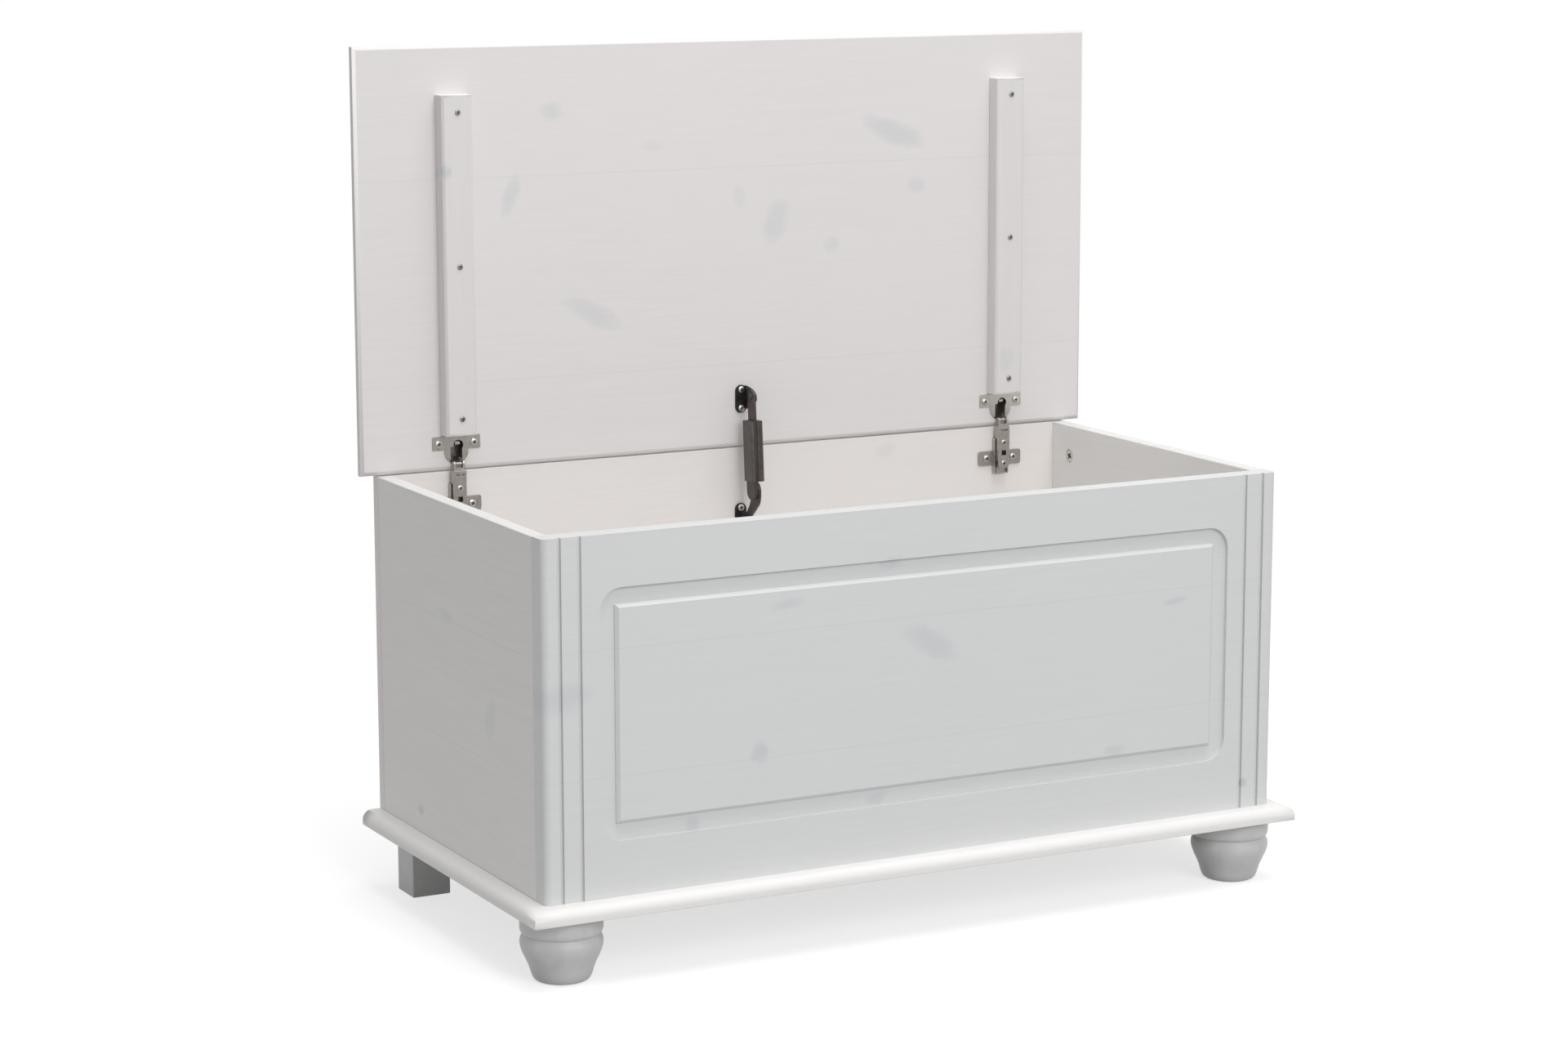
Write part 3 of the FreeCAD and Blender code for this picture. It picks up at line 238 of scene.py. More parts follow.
def glazed_pine(name, tone, grain="X", face="XZ", knots=(), joints=(), seed=0.0, painted_shade_bands=()):
    """Pine under a white glaze: streaks along the grain, soft clouds, knots, glued joints and strips of painted
    shade.

    Knots are (place, place, half width, half height, lean, strength) on the face, joints are (axis, place),
    and painted_shade_bands are (axis, start, end, strength) of painted shade.
    """
    options = bpy.context.scene.trunk_finish
    material, tree, shader = finish(name, 0.46)
    place = own_place(tree)
    turn = {"X": (0, 0, 0), "Y": (0, 0, pi / 2), "Z": (0, pi / 2, 0)}[grain]
    shift = (seed, seed * 0.7, seed * 0.3)
    along = node(tree, "Mapping", Vector=place, Location=shift, Rotation=turn).outputs[0]
    wobble = noise(tree, along, 3.0, 2.0).outputs["Color"]
    bent = vectors(tree, "MULTIPLY_ADD", wobble, (0.0, 0.03, 0.03), along)
    streak = noise(tree, stretched(tree, bent, (9.0, 380.0, 380.0)), detail=6.0, Roughness=0.62).outputs[0]
    figure = noise(tree, stretched(tree, bent, (1.3, 34.0, 34.0)), detail=4.0, Roughness=0.55).outputs[0]
    cloud = noise(tree, along, 4.5).outputs[0]
    light = shaded(tone, 1.012)
    shade = mixed(tree, mapped(tree, streak, 0.34, 0.68), shaded(tone, 0.984), light)
    shade = mixed(tree, mapped(tree, figure, 0.42, 0.74, 0.0, 0.45), shade, shaded(tone, 0.98))
    shade = mixed(tree, mapped(tree, cloud, 0.35, 0.72, 0.0, 0.5), shade, light)
    ragged = noise(tree, along, 55.0).outputs["Color"]
    loose = vectors(tree, "MULTIPLY_ADD", ragged, (KNOT_FRAY,) * 3, place)
    parts = parted(tree, vectors(tree, "SUBTRACT", loose, (KNOT_FRAY / 2,) * 3))
    across, up = (parts["XYZ".index(axis)] for axis in face)
    for x, z, wide, high, lean, strength in knots:
        dx, dz = maths(tree, "SUBTRACT", across, x), maths(tree, "SUBTRACT", up, z)
        u = maths(tree, "ADD", maths(tree, "MULTIPLY", dx, cos(lean) / wide),
                  maths(tree, "MULTIPLY", dz, sin(lean) / wide))
        v = maths(tree, "SUBTRACT", maths(tree, "MULTIPLY", dz, cos(lean) / high),
                  maths(tree, "MULTIPLY", dx, sin(lean) / high))
        away = maths(tree, "ADD", maths(tree, "MULTIPLY", u, u), maths(tree, "MULTIPLY", v, v))
        shade = mixed(tree, mapped(tree, away, 0.0, 1.7, strength, 0.0), shade, options.knot)
    exact = parted(tree, place)
    for axis, at in joints:
        gap = maths(tree, "ABSOLUTE", maths(tree, "SUBTRACT", exact["XYZ".index(axis)], at))
        shade = mixed(tree, mapped(tree, gap, 0.0001, 0.0007, 0.3, 0.0), shade, shaded(tone, 0.8))
    # painted shade: each strip darkens the glaze towards a dark tone along an axis
    for axis, start, end, strength in painted_shade_bands:
        rise = mapped(tree, exact["XYZ".index(axis)], start, end, 0.0, strength)
        shade = mixed(tree, rise, shade, shaded(tone, 0.3))
    relief = maths(tree, "ADD", streak, maths(tree, "MULTIPLY", figure, 0.6))
    surfaced(tree, shader, shade, mapped(tree, streak, 0.3, 0.7, 0.52, 0.42), relief, 0.00012, 0.3)
    return material


def painted_foot(name, tone):
    """Brushed white paint on turned or sawn wood, with fine ridges and worn clouds."""
    material, tree, shader = finish(name, 0.42)
    place = own_place(tree)
    ridge = noise(tree, stretched(tree, place, (60.0, 60.0, 900.0))).outputs[0]
    cloud = noise(tree, place, 38.0, 4.0).outputs[0]
    shade = mixed(tree, mapped(tree, cloud, 0.35, 0.7), shaded(tone, 0.92), shaded(tone, 1.04))
    surfaced(tree, shader, shade, mapped(tree, cloud, 0.3, 0.7, 0.36, 0.5), ridge, 0.0001, 0.4)
    return material


def plated(name, tone, roughness, hollow_shade=None):
    """Plated steel with faint brushing and cloudy tarnish, with painted shade deeper in Y than the place given
    by hollow_shade.
    """
    material, tree, shader = finish(name, roughness, 1.0)
    place = own_place(tree)
    lines = noise(tree, stretched(tree, place, (900.0, 270.0, 135.0)), detail=4.0).outputs[0]
    cloud = noise(tree, place, 240.0).outputs[0]
    shade = mixed(tree, mapped(tree, cloud, 0.3, 0.75), shaded(tone, 0.93), shaded(tone, 1.05))
    # painted shade inside a cup, darkening beyond the given place of Y
    if hollow_shade:
        depth = parted(tree, place)["Y"]
        shade = mixed(tree, mapped(tree, depth, hollow_shade, hollow_shade + 0.006, 0.0, 0.7), shade, shaded(tone, 0.3))
    rough = mapped(tree, lines, 0.3, 0.7, roughness * 0.9, roughness * 1.15)
    surfaced(tree, shader, shade, rough, lines, 0.00001, 0.2)
    return material


def coated(name, tone, roughness, grit=1400.0, groove_shade=None):
    """Dark coating with a fine orange-peel skin and rubbed clouds, with painted shade between two places of X.
    """
    material, tree, shader = finish(name, roughness)
    place = own_place(tree)
    skin = noise(tree, place, grit).outputs[0]
    cloud = noise(tree, place, 160.0, 4.0).outputs[0]
    shade = mixed(tree, mapped(tree, cloud, 0.35, 0.72), shaded(tone, 0.8), shaded(tone, 1.3))
    # painted shade in the sleeve's groove, between the two places of X given
    if groove_shade:
        away = maths(tree, "ABSOLUTE", maths(tree, "SUBTRACT", parted(tree, place)["X"], sum(groove_shade) / 2))
        half = (groove_shade[1] - groove_shade[0]) / 2
        share = mapped(tree, away, half * 0.8, half * 1.1, 0.75, 0.0)
        shade = mixed(tree, share, shade, shaded(tone, 0.25))
    rough = mapped(tree, cloud, 0.3, 0.7, roughness * 0.85, roughness * 1.2)
    surfaced(tree, shader, shade, rough, skin, 0.00005, 0.5)
    return material


# Shapes

def dress(material, *packed):
    """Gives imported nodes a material."""
    for name in packed:
        NODES[name].data.materials.clear()
        NODES[name].data.materials.append(material)


def mid(packed):
    """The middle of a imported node's box."""
    low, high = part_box(packed)
    return (low + high) / 2


def stored(bm, name):
    """A mesh with what the bmesh holds, which is then freed."""
    mesh = bpy.data.meshes.new(name)
    bm.to_mesh(mesh)
    bm.free()
    return mesh


def placed(name, data):
    """A new object in the scene."""
    thing = bpy.data.objects.new(name, data)
    bpy.context.scene.collection.objects.link(thing)
    return thing


def looking(centre, axis):
    """Where a shape that was drawn upwards from the origin goes, to stand on a centre along an axis."""
    turn = Vector((0, 0, 1)).rotation_difference(Vector(axis)).to_matrix().to_4x4()
    return Matrix.Translation(Vector(centre)) @ turn


def keep(bm, name, material, body, replaced=(), smooth=40.0):
    """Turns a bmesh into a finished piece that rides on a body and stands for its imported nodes."""
    for face in bm.faces:
        face.smooth = True
    mesh = stored(bm, name)
    mesh.set_sharp_from_angle(angle=radians(smooth))
    for coat in material if isinstance(material, tuple) else (material,):
        mesh.materials.append(coat)
    piece = placed(name, mesh)
    even = piece.modifiers.new("even_shading", "WEIGHTED_NORMAL")
    even.keep_sharp = True
    even.weight = 100
    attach(piece, body)
    if replaced:
        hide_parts(*replaced)


def rounded(bm, edges, offset, segments=2):
    """Rounds edges off."""
    bmesh.ops.bevel(bm, geom=edges, offset=offset, offset_type="OFFSET", segments=segments, profile=0.5,
                    affect="EDGES", clamp_overlap=True, material=-1)


def long_edge(edge):
    """Whether an edge is none of the short ones along a packed round."""
    return edge.calc_length() > 0.006


def eased(name, packed, material, body, arris, wanted, let_down=0.0, cuts=()):
    """A board with its wanted arrises softly rounded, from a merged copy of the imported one.

    The cuts part long facets across an axis at places. The lower end is drawn out downwards by the let-down.
    """
    bm = bmesh.new()
    bm.from_mesh(NODES[packed].data)
    bmesh.ops.remove_doubles(bm, verts=bm.verts, dist=1e-6)
    bmesh.ops.dissolve_limit(bm, angle_limit=radians(0.3), verts=bm.verts, edges=bm.edges, delimit={"NORMAL"})
    for axis, place in cuts:
        along = Vector((0, 0, 0))
        along["XYZ".index(axis)] = 1.0
        bmesh.ops.bisect_plane(bm, geom=bm.verts[:] + bm.edges[:] + bm.faces[:], dist=1e-6,
                               plane_co=along * place, plane_no=along)
    sharp = [edge for edge in bm.edges
             if len(edge.link_faces) == 2 and edge.calc_face_angle(0) > radians(30) and wanted(edge)]
    rounded(bm, sharp, arris)
    above = min(vert.co.z for vert in bm.verts) + DRAWN_END
    bmesh.ops.scale(bm, vec=(1, 1, 1 + let_down / DRAWN_END), space=Matrix.Translation((0, 0, -above)),
                    verts=[vert for vert in bm.verts if vert.co.z < above])
    keep(bm, name, material, body, [packed])


def slab(bm, low, high, round_off=0.0, segments=3):
    """A box between two corners, with all its edges rounded."""
    low, high = Vector(low), Vector(high)
    made = bmesh.ops.create_cube(bm, size=1.0)["verts"]
    size = high - low
    bmesh.ops.scale(bm, vec=size, verts=made)
    bmesh.ops.translate(bm, vec=(low + high) / 2, verts=made)
    if round_off:
        rounded(bm, list({edge for vert in made for edge in vert.link_edges}), round_off, segments)


def turned(bm, profile, centre, axis, steps=48):
    """A turned shape: (radius, height) points spun round an axis through a centre."""
    place = looking(centre, axis)
    verts = [bm.verts.new(place @ Vector((radius, 0, height))) for radius, height in profile]
    edges = [bm.edges.new(pair) for pair in zip(verts, verts[1:])]
    bmesh.ops.spin(bm, geom=verts + edges, cent=centre, axis=axis, dvec=(0, 0, 0), angle=2 * pi,
                   steps=steps, use_merge=True, use_duplicate=False)
    bmesh.ops.remove_doubles(bm, verts=bm.verts, dist=1e-6)


def outward(bm):
    """Turns all faces outwards."""
    bmesh.ops.recalc_face_normals(bm, faces=bm.faces)


def carve(bm, cutter):
    """Cuts the cutter's solids out of a bmesh and gives back the result as a new bmesh."""
    pair = []
    for name, shape in (("blank", bm), ("cutter", cutter)):
        outward(shape)
        pair.append(placed(name, stored(shape, name)))
    blank, tool = pair
    cut = blank.modifiers.new("cut", "BOOLEAN")
    cut.operation = "DIFFERENCE"
    cut.solver = "EXACT"
    cut.use_self = True
    cut.object = tool
    bpy.context.view_layer.update()
    mesh = bpy.data.meshes.new_from_object(blank.evaluated_get(bpy.context.evaluated_depsgraph_get()))
    result = bmesh.new()
    result.from_mesh(mesh)
    for thing in pair:
        bpy.data.objects.remove(thing)
    bpy.data.meshes.remove(mesh)
    return result


def drum(bm, radius, depth, centre, axis, steps=32, rim=0.0):
    """A solid disc or pin between two faces, its rims rounded, centred on a point."""
    made = bmesh.ops.create_cone(bm, cap_ends=True, segments=steps, radius1=radius, radius2=radius,
                                 depth=depth, matrix=looking(centre, axis))["verts"]
    if rim:
        ends = list({edge for vert in made for edge in vert.link_edges
                     if abs((edge.verts[0].co - edge.verts[1].co).normalized().dot(Vector(axis))) < 0.5})
        rounded(bm, ends, rim)


def sheet_metal(bm, corners, thickness, rounds, rim):
    """A flat piece cut from sheet: corners in one plane, each rounded, given a thickness and soft rims."""
    verts = [bm.verts.new(corner) for corner in corners]
    bm.faces.new(verts)
    old = set(bm.verts) - set(verts)
    for vert, radius in zip(verts, rounds):
        if radius:
            bmesh.ops.bevel(bm, geom=[vert], offset=radius, offset_type="OFFSET", segments=7,
                            profile=0.5, affect="VERTICES", clamp_overlap=True, material=-1)
    flat = next(part for part in bm.faces if not old.intersection(part.verts))
    made = bmesh.ops.extrude_face_region(bm, geom=[flat])["geom"]
    moved = [part for part in made if isinstance(part, bmesh.types.BMVert)]
    bmesh.ops.translate(bm, vec=thickness, verts=moved)
    fresh = [part for part in bm.faces if not old.intersection(part.verts)]
    bmesh.ops.recalc_face_normals(bm, faces=fresh)
    if rim:
        sharp = [edge for edge in {edge for part in fresh for edge in part.edges}
                 if edge.calc_face_angle(0) > radians(50)]
        rounded(bm, sharp, rim)


def front_sheet(bm, low, high, corner, rim):
    """A sheet that faces the front, between two corners of its box, with its own corners rounded."""
    corners = [(x, low[1], z) for x, z in ((low[0], low[2]), (high[0], low[2]), (high[0], high[2]),
                                           (low[0], high[2]))]
    sheet_metal(bm, corners, (0, high[1] - low[1], 0), (corner,) * 4, rim)


def side_sheet(bm, x, shape, thickness, rim):
    """A sheet that faces a side, from corners given as (Y, Z, rounding)."""
    corners = [(x, y, z) for y, z, _ in shape]
    sheet_metal(bm, corners, (thickness, 0, 0), [rounding for _, _, rounding in shape], rim)


def cross_headed(radius, height, recess):
    """A pan head standing at the origin and looking up; its cross recess takes the second material, a dark one
    that paints the recess's shade.
    """
    head = bmesh.new()
    outline = [(0, 0), (radius, 0), (radius, height * 0.35), (radius * 0.93, height * 0.68),
               (radius * 0.72, height * 0.93), (radius * 0.45, height), (0, height)]
    turned(head, outline, (0, 0, 0), (0, 0, 1), 28)
    cross = bmesh.new()
    for wide, deep in ((recess, recess * 0.3), (recess * 0.3, recess)):
        slab(cross, (-wide / 2, -deep / 2, height * 0.3), (wide / 2, deep / 2, height * 2))
    carved = carve(head, cross)
    for face in carved.faces:
        spot, tilt = face.calc_center_median(), abs(face.normal.z)
        inside = max(abs(spot.x), abs(spot.y)) < recess / 2 + 0.00001 and spot.z > height * 0.25
        face.material_index = int(inside and (tilt < 0.1 or (tilt > 0.99 and spot.z < height * 0.35)))
    return stored(carved, "screw_head")


def heads_on(bm, head, points, facing):
    """Copies of a screw head on points, looking one way, each with its cross turned by another angle."""
    for count, point in enumerate(points):
        before = set(bm.verts)
        bm.from_mesh(head)
        fresh = [vert for vert in bm.verts if vert not in before]
        turn = Matrix.Rotation(CROSS_TURNS[count % len(CROSS_TURNS)], 4, "Z")
        bmesh.ops.transform(bm, matrix=looking(point, facing) @ turn, verts=fresh)


# Pieces

# Knots and glued joints of the boards, as glazed_pine takes them
LID_KNOTS = [(-0.208, 0.774, 0.013, 0.009, 0.2, 0.30), (-0.254, 0.691, 0.008, 0.021, -0.35, 0.32),
             (0.044, 0.652, 0.013, 0.024, -0.4, 0.30), (0.184, 0.740, 0.036, 0.012, -0.35, 0.42),
             (0.211, 0.682, 0.011, 0.009, 0.0, 0.26), (-0.166, 0.569, 0.034, 0.010, -0.45, 0.30),
             (0.109, 0.625, 0.009, 0.008, 0.0, 0.24), (0.001, 0.680, 0.007, 0.011, 0.2, 0.18),
             (-0.096, 0.734, 0.009, 0.005, 0.0, 0.14), (0.335, 0.63, 0.009, 0.007, 0.2, 0.16)]
FRONT_KNOTS = [(-0.380, 0.272, 0.026, 0.014, 0.1, 0.36), (-0.180, 0.199, 0.008, 0.011, 0.0, 0.50),
               (0.004, 0.285, 0.030, 0.011, -0.5, 0.40), (-0.152, 0.337, 0.016, 0.005, 0.1, 0.34),
               (-0.039, 0.366, 0.013, 0.006, 0.1, 0.38), (0.280, 0.299, 0.014, 0.004, 0.1, 0.42),
               (-0.249, 0.138, 0.007, 0.008, 0.0, 0.40), (-0.053, 0.139, 0.011, 0.005, 0.2, 0.36),
               (0.213, 0.157, 0.012, 0.005, 0.1, 0.34), (0.368, 0.104, 0.004, 0.004, 0.0, 0.85)]
SIDE_KNOTS = [(0.101, 0.102, 0.008, 0.007, 0.0, 0.45), (-0.074, 0.230, 0.012, 0.020, 0.3, 0.16),
              (0.03, 0.31, 0.016, 0.006, 0.1, 0.16)]
BACK_KNOTS = [(0.177, 0.403, 0.012, 0.007, 0.0, 0.20), (-0.20, 0.27, 0.020, 0.008, 0.1, 0.22),
              (0.10, 0.18, 0.014, 0.010, 0.3, 0.20)]
BASE_KNOTS = [(-0.21, 0.03, 0.018, 0.009, 0.1, 0.3), (0.16, -0.08, 0.014, 0.010, 0.4, 0.28)]
BATTEN_KNOTS = [(-0.329, 0.718, 0.005, 0.006, 0.0, 0.6), (0.313, 0.494, 0.010, 0.012, 0.2, 0.24)]
LID_JOINTS = [("Z", 0.507), ("Z", 0.71)]
FRONT_JOINTS = [("Z", 0.193), ("Z", 0.312)]
SIDE_JOINTS = [("Z", 0.188), ("Z", 0.305)]
BACK_JOINTS = [("Z", 0.21), ("Z", 0.335)]
BASE_JOINTS = [("Y", -0.06), ("Y", 0.08)]

# Where the long facets of the base board are cut across
BASE_CUTS = [("Y", y) for y in (-0.19, -0.1, 0.0, 0.1, 0.19)]
BASE_CUTS += [("X", x) for x in (-0.39, -0.2, 0.0, 0.2, 0.39)]


def rim_painted_shade(depth, strength):
    """A strip of painted shade over the topmost part of a board of the box."""
    return [("Z", RIM - depth, RIM - 0.0001, strength)]


class TRUNK_OT_boards(bpy.types.Operator):
    """Glaze the boards of the chest and of the lid and ease their edges"""
    bl_idname = "trunk.boards"
    bl_label = "Boards"

    def execute(self, context):
        tones, arris = context.scene.trunk_finish, context.scene.trunk_shape.arris
        # Painted shade darkens the tops of the front, side and back boards; on the back board it stands for the
        # lid's shadow in the gap under it.
        front = glazed_pine("glazed_front", tones.front_glaze, "X", "XZ", FRONT_KNOTS, FRONT_JOINTS, 1.0,
                            rim_painted_shade(0.0008, 0.15))
        side = glazed_pine("glazed_side", tones.side_glaze, "Y", "YZ", SIDE_KNOTS, SIDE_JOINTS, 3.0,
                           rim_painted_shade(0.0008, 0.2))
        back = glazed_pine("glazed_back", tones.inside_glaze, "X", "XZ", BACK_KNOTS, BACK_JOINTS, 5.0,
                           rim_painted_shade(0.0005, 0.12))
        # The base's glaze is the side glaze lightened: painted light that makes up for the shade the side
        # panels cast on the base's ledges.
        base = glazed_pine("glazed_base", shaded(tones.side_glaze, 1.05), "X", "XY", BASE_KNOTS, BASE_JOINTS,
                           7.0)
        lid = glazed_pine("glazed_lid", tones.lid_glaze, "X", "XZ", LID_KNOTS, LID_JOINTS, 9.0)
        strip = glazed_pine("glazed_batten", shaded(tones.lid_glaze, 0.965), "Z", "XZ", BATTEN_KNOTS, (), 11.0)
        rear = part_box("base_board")[1].y - 0.001
        eased("front_board", "front_panel", front, "chest", arris,
              lambda edge: long_edge(edge) or max(vert.co.y for vert in edge.verts) < -0.19)
        for name in ("left_side", "right_side"):
            eased(name + "_board", name + "_panel", side, "chest", arris * 1.6, long_edge)
        eased("back_board", "back_panel", back, "chest", arris,
              lambda edge: long_edge(edge) and min(vert.co.y for vert in edge.verts) < BACK_FACE + 0.001)
        eased("base_shelf", "base_board", base, "chest", arris,
              lambda edge: long_edge(edge) and min(vert.co.y for vert in edge.verts) < rear, cuts=BASE_CUTS)
        eased("lid_board", "lid_panel", lid, "lid", arris,
              lambda edge: long_edge(edge) and max(vert.co.z for vert in edge.verts) > LID_FOOT + 0.001,
              LID_LET_DOWN)
        for name in ("left", "right"):
            eased(name + "_lid_batten", name + "_batten", strip, "lid", arris, long_edge)
        return {"FINISHED"}


# Half the outline of a bun foot: radius and height in millimetres
FOOT_PROFILE = [(0, 0), (20.5, 0), (22.6, 0.25), (24.6, 0.9), (26.0, 1.8), (27.2, 3.4), (28.4, 6.2),
                (29.6, 10.0), (30.8, 14.0), (32.3, 17.8), (34.0, 21.5), (35.8, 25.3), (37.3, 29.0),
                (38.4, 32.4), (38.9, 35.5), (38.9, 38.0), (38.4, 40.2), (37.5, 42.0), (36.5, 43.4),
                (35.9, 44.4), (36.2, 45.0), (37.2, 45.9), (38.2, 47.2), (38.8, 49.0), (38.9, 51.0),
                (38.9, 57.0), (38.7, 60.5), (38.2, 63.0), (37.4, 64.0), (0, 64.0)]


class TRUNK_OT_feet(bpy.types.Operator):
    """Turn the bun feet and ease the block feet"""
    bl_idname = "trunk.feet"
    bl_label = "Feet"

    def execute(self, context):
        shape = context.scene.trunk_shape
        paint = painted_foot("foot_paint", context.scene.trunk_finish.foot_paint)
        for side in ("left", "right"):
            packed = "front_%s_foot" % side
            centre = (mid(packed).x, FOOT_Y, 0)
            bm = bmesh.new()
            turned(bm, [(r * MM, z * MM) for r, z in FOOT_PROFILE], centre, (0, 0, 1), shape.foot_steps)
            outward(bm)
            keep(bm, side + "_bun_foot", paint, "chest", [packed], 50.0)
            packed = "rear_%s_foot" % side
            low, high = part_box(packed)
            bm = bmesh.new()
            slab(bm, low, high, 0.0012, 3)
            keep(bm, side + "_block_foot", paint, "chest", [packed])
        return {"FINISHED"}


def hinge_cup(side, nickel):
    """The cup and its winged flange, open in a round-topped slot, and the pin and link end inside."""
    packed = side + "_hinge_cup"
    x, z, face = mid(packed).x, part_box(packed)[0].z + CUP_RADIUS, LID_FACE
    bm = bmesh.new()
    turned(bm, [(0, 0.0108), (0.0124, 0.0108), (CUP_RADIUS, 0.0102), (CUP_RADIUS, 0.0), (0.0118, 0.0),
                (0.0118, 0.0098), (0, 0.0098)], (x, face, z), (0, 1, 0), 56)
    outward(bm)
    cover = bmesh.new()
    front_sheet(cover, (x - 0.026, face - FLANGE, z + 0.0015), (x + 0.026, face, z + 0.0155), 0.0016, 0.00015)
    drum(cover, CUP_RADIUS, FLANGE, (x, face - FLANGE / 2, z), (0, 1, 0), 56, 0.00015)
    slot = bmesh.new()
    drum(slot, 0.0053, 0.004, (x + 0.0022, face, z + 0.0058), (0, 1, 0), 40)
    slab(slot, (x - 0.0063, face - 0.002, z - 0.0118), (x + 0.0063, face + 0.002, z + 0.0046))
    mesh = stored(carve(cover, slot), "cover")
    bm.from_mesh(mesh)
    bpy.data.meshes.remove(mesh)
    drum(bm, 0.0006, 0.024, (x, CUP_PIN.y, CUP_PIN.z), (1, 0, 0), 12)
    drum(bm, 0.0024, 0.0052, (x + 0.0018, face + 0.0028, z + 0.0078), (1, 0, 0), 32, 0.0003)
    keep(bm, side + "_cup", nickel, "lid", [packed])


def hinge_plate(side, nickel):
    """The cross-shaped plate with round-cornered wings, a spine and the rails beside the arm."""
    packed = side + "_hinge_plate"
    low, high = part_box(packed)
    x, back, z = mid(packed).x, high.y, RIM - PLATE_DROP
    bm = bmesh.new()
    front_sheet(bm, (low.x, back - SHEET, z - 0.008), (high.x, back, z + 0.008), 0.003, 0.0006)
    slab(bm, (x - 0.0052, back - 0.004, low.z), (x + 0.0052, back - 0.0002, high.z), 0.0004, 2)
    for sign in (-1, 1):
        inner, outer = x + sign * 0.0074, x + sign * 0.0086
        slab(bm, (min(inner, outer), low.y, low.z), (max(inner, outer), back, high.z), 0.0004, 2)
    keep(bm, side + "_mounting_plate", nickel, "chest", [packed])


def hinge_arm(side, nickel):
    """The channel arm with its rolled nose, the slot under the roll, the square window and a round foot."""
    packed = side + "_hinge_arm"
    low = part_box(packed)[0]
    x, nose = mid(packed).x, NOSE_PIN
    half, front, back, top = 0.007, low.y, low.y + 0.009, RIM + 0.001
    bm = bmesh.new()
    sheet_metal(bm, [(x - half, front, low.z), (x + half, front, low.z), (x + half, front, top),
                     (x + half - 0.001, front, top), (x - half + 0.001, front, top), (x - half, front, top)],
                (0, 0.0014, 0), (0.0055, 0.0055, 0, 0, 0, 0), 0.0004)
    wall = [(front + 0.0008, low.z + 0.0085, 0), (back, low.z + 0.0085, 0.002), (back, top - 0.006, 0.002),
            (back - 0.003, top, 0.002), (front + 0.0008, top, 0.001)]
    for sign in (-1, 1):
        side_sheet(bm, x + sign * half, wall, -sign * 0.0014, 0.0003)
    cheek = [(nose.y - 0.0028, nose.z, 0), (nose.y - 0.0028, nose.z - 0.0085, 0),
             (nose.y + 0.0028, nose.z - 0.0085, 0), (nose.y + 0.0028, nose.z, 0)]
    for sign in (-1, 1):
        side_sheet(bm, x + sign * 0.006, cheek, -sign * 0.0022, 0.0002)
        drum(bm, 0.0028, 0.0022, (x + sign * 0.0049, nose.y, nose.z), (1, 0, 0), 32, 0.0003)
    slab(bm, (x - 0.006, nose.y - 0.0028, RIM + 0.0002), (x + 0.006, nose.y - 0.0014, RIM + 0.0036), 0.0004, 2)
    tool = bmesh.new()
    slab(tool, (x - 0.0028, front - 0.002, RIM - 0.0302), (x + 0.0028, front + 0.0022, RIM - 0.0250), 0.0003, 1)
    slab(tool, (x - 0.0036, front - 0.002, RIM - 0.0035), (x + 0.0048, front + 0.0022, RIM - 0.0023))
    carved = carve(bm, tool)
    keep(carved, side + "_channel_arm", nickel, "chest", [packed])


def hinge_link(side, nickel):
    """The forked link between the nose and the cup."""
    packed = side + "_hinge_link"
    low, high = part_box(packed)
    nose = NOSE_PIN
    lean = atan2(CUP_PIN.z - nose.z, CUP_PIN.y - nose.y)
    bm = bmesh.new()
    fork = [(0, -0.00165), (0.0106, -0.00165), (0.0106, -0.0012), (0.006, -0.0012), (0.006, 0.0012),
            (0.0106, 0.0012), (0.0106, 0.00165), (0, 0.00165)]
    shape = [(nose.y + cos(lean) * a - sin(lean) * b, nose.z + sin(lean) * a + cos(lean) * b, 0)
             for a, b in fork]
    side_sheet(bm, low.x + 0.0004, shape, high.x - low.x - 0.0008, 0.0001)
    drum(bm, 0.00165, high.x - low.x, (mid(packed).x, nose.y, nose.z), (1, 0, 0), 28, 0.0002)
    keep(bm, side + "_link", nickel, side + "_hinge_link", [packed])


class TRUNK_OT_hinges(bpy.types.Operator):
    """Press and plate the concealed hinges"""
    bl_idname = "trunk.hinges"
    bl_label = "Hinges"

    def execute(self, context):
        tone = context.scene.trunk_finish.nickel
        nickel = plated("nickel", tone, 0.3)
        # the cup's nickel has painted shade inside the cup
        hollow_shade = plated("nickel_cup_shaded", tone, 0.3, hollow_shade=LID_FACE + 0.0004)
        for side in ("left", "right"):
            hinge_cup(side, hollow_shade)
            hinge_plate(side, nickel)
            hinge_arm(side, nickel)
            hinge_link(side, nickel)
        dress(nickel, "hinge_pins")
        return {"FINISHED"}


def round_plate(bm, low, high, foot):
    """The plate of a bracket, with round ends, from a foot up to the top of the bracket's box."""
    front_sheet(bm, (low.x, high.y - SHEET, foot), high, (high.x - low.x) / 2 * 0.98, 0.0004)


def upper_bracket(black):
    """The bracket on the lid: a round-ended plate and a sickle-shaped ear out to the pivot."""
    low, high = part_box("stay_upper_bracket")
    pivot = mid("stay_upper_rivet")
    bm = bmesh.new()
    round_plate(bm, low, high, low.z)
    ear = [(high.y - 0.001, low.z + 0.004, 0), (high.y - 0.001, high.z - 0.0008, 0),
           (high.y - 0.010, high.z - 0.0008, 0.008), (pivot.y - 0.0055, pivot.z + 0.004, 0.006),
           (pivot.y - 0.0055, pivot.z - 0.0055, 0.0054), (pivot.y + 0.006, pivot.z - 0.0055, 0.006),
           (high.y - 0.008, low.z + 0.004, 0.005)]
    side_sheet(bm, mid("stay_upper_arm").x + 0.0016, ear, SHEET, 0.0004)
    keep(bm, "lid_bracket", black, "lid", ["stay_upper_bracket"])


